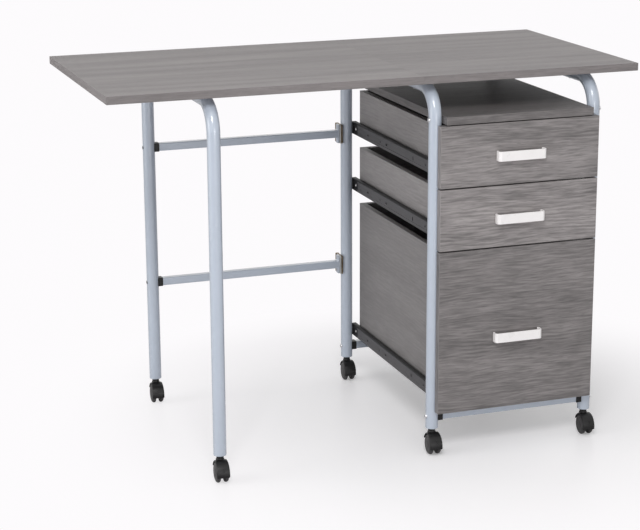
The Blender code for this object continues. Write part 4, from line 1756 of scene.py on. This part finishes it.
@dataclass
class FrameBolts:
    """The bolts that hold rails, shelf and bars to the posts, and the top to the frames."""

    sink: float = 0.0004
    top_inset: float = 0.10

    def build(self, bolts: Pattern, screws: Pattern, frames: dict[str, PostFrame]) -> None:
        """Set a bolt at every joint.

        Args:
            bolts: The bolt to copy.
            screws: The screw to copy.
            frames: The post frames by row.
        """
        heights = {"rail": level_of("front_bottom_rail"), "shelf": level_of("shelf_board")}
        for side in Side:
            post = frames[side.word]
            outward = -side.value
            for end in ("front", "rear"):
                for use, z in heights.items():
                    place = (post.x + outward * (TUBE_RADIUS - self.sink), getattr(post, end), z)
                    name = f"{side.word}_{end}_post_{use}_bolt"
                    dress(bolts.point(name, place, (outward, 0.0, 0.0)), BRIGHT_STEEL, PEDESTAL)
        wing = frames["wing"]
        for level in ("upper", "lower"):
            bar = f"wing_{level}_bar"
            place = (wing.x - TUBE_RADIUS + self.sink, wing.rear, level_of(bar))
            dress(screws.point(bar + "_bolt", place, -Axis.X.direction), SLIDE_STEEL, WING)
        for row, post in frames.items():
            height = post.top - TUBE_RADIUS + self.sink
            middle = (post.front + post.rear) / 2
            heads = [
                screws.point("head", (post.x, y, height), -Axis.Z.direction)
                for y in (post.front + self.top_inset, middle, post.rear - self.top_inset)
            ]
            dress(join(heads, row + "_frame_top_screws"), BRIGHT_STEEL, post.body)


# Studio


@dataclass
class Lamp:
    """A square soft lamp aimed at the desk."""

    name: str
    place: Point
    size: float
    power: float
    aim: Point = (0.0, 0.0, 0.4)

    def build(self) -> None:
        """Add the lamp to the scene."""
        data = bpy.data.lights.new(self.name, "AREA")
        data.shape = "SQUARE"
        data.size = self.size
        data.energy = self.power
        lamp = bpy.data.objects.new(self.name, data)
        lamp.location = self.place
        lamp.rotation_euler = (Vector(self.aim) - Vector(self.place)).to_track_quat("-Z", "Y").to_euler()
        bpy.context.scene.collection.objects.link(lamp)


@dataclass
class Studio:
    """A pale floor, a white surround, soft lamps, and the camera at the photo's angle."""

    floor_radius: float = 40.0
    floor_sides: int = 96
    floor_colour: Colour = (0.92, 0.905, 0.92)
    floor_roughness: float = 0.32
    floor_shine: float = 0.06
    backdrop_colour: Colour = (0.98, 0.965, 0.98)
    floor_lift: float = 0.24
    shadow_middle: Point = (0.2, -0.05, 0.0)
    shadow_fade: tuple[float, float] = (0.25, 0.85)
    surround: float = 0.31
    surround_colour: Colour = (1.0, 1.0, 1.0)
    image_width: float = 640.0
    focal_pixels: float = 1858.97
    sensor: float = 36.0
    yaw: float = math.radians(19.3114)
    pitch: float = math.radians(15.2074)
    roll: float = math.radians(-0.2967)
    camera_place: Point = (-1.2424, -3.4130, 1.3206)
    lamps: Sequence[Lamp] = (
        Lamp("overhead_lamp", (-0.2, -0.5, 3.0), 3.2, 9.0),
        Lamp("left_lamp", (-4.0, 0.0, 1.1), 2.4, 53.0),
        Lamp("front_lamp", (0.1, -4.0, 0.7), 1.4, 26.0),
        Lamp("small_lamp", (-1.0, -2.4, 2.6), 1.0, 40.0),
    )

    def build(self) -> None:
        """Set up the floor, the light and the camera."""
        self.add_floor()
        self.set_surround()
        for lamp in self.lamps:
            lamp.build()
        self.add_camera()
        bpy.context.scene.view_settings.view_transform = "Standard"

    def add_floor(self) -> None:
        """Add the floor, which shows white to the camera far from the desk and keeps its shadow."""
        deselect_all()
        bpy.ops.mesh.primitive_circle_add(
            vertices=self.floor_sides, radius=self.floor_radius, fill_type="NGON"
        )
        floor = settle("floor")
        material = bpy.data.materials.new("studio_floor")
        material.use_nodes = True
        graph = Graph(material.node_tree)
        nodes = material.node_tree.nodes
        shader = nodes["Principled BSDF"]
        shader.inputs["Base Color"].default_value = opaque(self.floor_colour)
        shader.inputs["Roughness"].default_value = self.floor_roughness
        shader.inputs["Specular IOR Level"].default_value = self.floor_shine
        seen = graph.add("ShaderNodeLightPath").outputs["Is Camera Ray"]
        strength = graph.math("MULTIPLY", seen, self.floor_lift)
        lift = graph.add("ShaderNodeEmission", {"Strength": strength})
        near = graph.add("ShaderNodeAddShader", {0: shader.outputs["BSDF"], 1: lift.outputs["Emission"]})
        white = graph.add("ShaderNodeEmission", {"Color": opaque(self.backdrop_colour)})
        place = graph.add("ShaderNodeTexCoord").outputs["Object"]
        reach = graph.add(
            "ShaderNodeVectorMath", {0: place, 1: tuple(self.shadow_middle)}, operation="DISTANCE"
        )
        fade = graph.limits(reach.outputs["Value"], *self.shadow_fade)
        fade.node.interpolation_type = "SMOOTHSTEP"
        far = graph.math("MULTIPLY", fade, seen)
        shown = {"Fac": far, 1: near.outputs["Shader"], 2: white.outputs["Emission"]}
        blend = graph.add("ShaderNodeMixShader", shown)
        graph.feed(nodes["Material Output"].inputs["Surface"], blend.outputs["Shader"])
        floor.data.materials.append(material)

    def set_surround(self) -> None:
        """Make the surround white where it is seen or mirrored, and dimmer as a light."""
        world = bpy.data.worlds.new("surround")
        bpy.context.scene.world = world
        world.use_nodes = True
        graph = Graph(world.node_tree)
        shader = world.node_tree.nodes["Background"]
        shader.inputs["Color"].default_value = opaque(self.surround_colour)
        rays = graph.add("ShaderNodeLightPath").outputs
        shown = graph.math("MAXIMUM", rays["Is Camera Ray"], rays["Is Glossy Ray"])
        shown = graph.math("MAXIMUM", shown, rays["Is Transmission Ray"])
        graph.feed(shader.inputs["Strength"], graph.limits(shown, 0.0, 1.0, self.surround, 1.0))

    def add_camera(self) -> None:
        """Add the camera that was fitted to the photo."""
        ahead = Vector((
            math.sin(self.yaw) * math.cos(self.pitch),
            math.cos(self.yaw) * math.cos(self.pitch),
            -math.sin(self.pitch),
        ))
        level = Vector((math.cos(self.yaw), -math.sin(self.yaw), 0.0))
        upright = level.cross(ahead)
        right = level * math.cos(self.roll) + upright * math.sin(self.roll)
        up = upright * math.cos(self.roll) - level * math.sin(self.roll)
        data = bpy.data.cameras.new("photo_camera")
        data.sensor_width = self.sensor
        data.lens = self.focal_pixels / self.image_width * self.sensor
        camera = bpy.data.objects.new("photo_camera", data)
        turned = Matrix((right, up, -ahead)).transposed().to_4x4()
        camera.matrix_world = Matrix.Translation(Vector(self.camera_place)) @ turned
        bpy.context.scene.collection.objects.link(camera)
        bpy.context.scene.camera = camera


def main() -> None:
    """Model every sub-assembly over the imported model, then light it."""
    logging.basicConfig(level=logging.INFO, format="%(name)s: %(message)s")
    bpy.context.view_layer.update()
    deselect_all()
    fasteners = Fasteners()
    bolts = fasteners.bolt()
    screws = fasteners.screw()
    cams = fasteners.cam()
    frames = {
        "wing": PostFrame("wing_frame", WING),
        "left": PostFrame("left_post_frame", PEDESTAL),
        "right": PostFrame("right_post_frame", PEDESTAL),
    }
    Desktop().build()
    for post in frames.values():
        post.build()
    saddles = Saddles()
    SquareTube("front_bottom_rail", PEDESTAL).build()
    SquareTube("rear_bottom_rail", PEDESTAL, trim=saddles.length).build()
    for level in ("upper", "lower"):
        SquareTube(f"wing_{level}_bar", WING, plate=BAR_PLATE).build()
        SwingHinge(level).build(screws)
    saddles.build(frames)
    # Painted shade on the shelf under the desktop, and on its long edges
    tone, edge_tone = SHELF_PAINTED_SHADE
    Board(
        "shelf_board", PEDESTAL, Axis.X, OAK_FACE, number=3, tone=tone, long_edge_tone=edge_tone
    ).build()
    # Each drawer's painted light and shade, for its front and for the sides of its box
    for number, (name, (front_tone, side_tone)) in enumerate(DRAWER_PAINTED_LIGHT.items(), start=1):
        Drawer(name, number, front_tone, side_tone).build(bolts, screws, cams)
    Casters().build(frames)
    FrameBolts().build(bolts, screws, frames)
    for pattern in (bolts, screws, cams):
        pattern.discard()
    Studio().build()


if __name__ == "__main__":
    main()
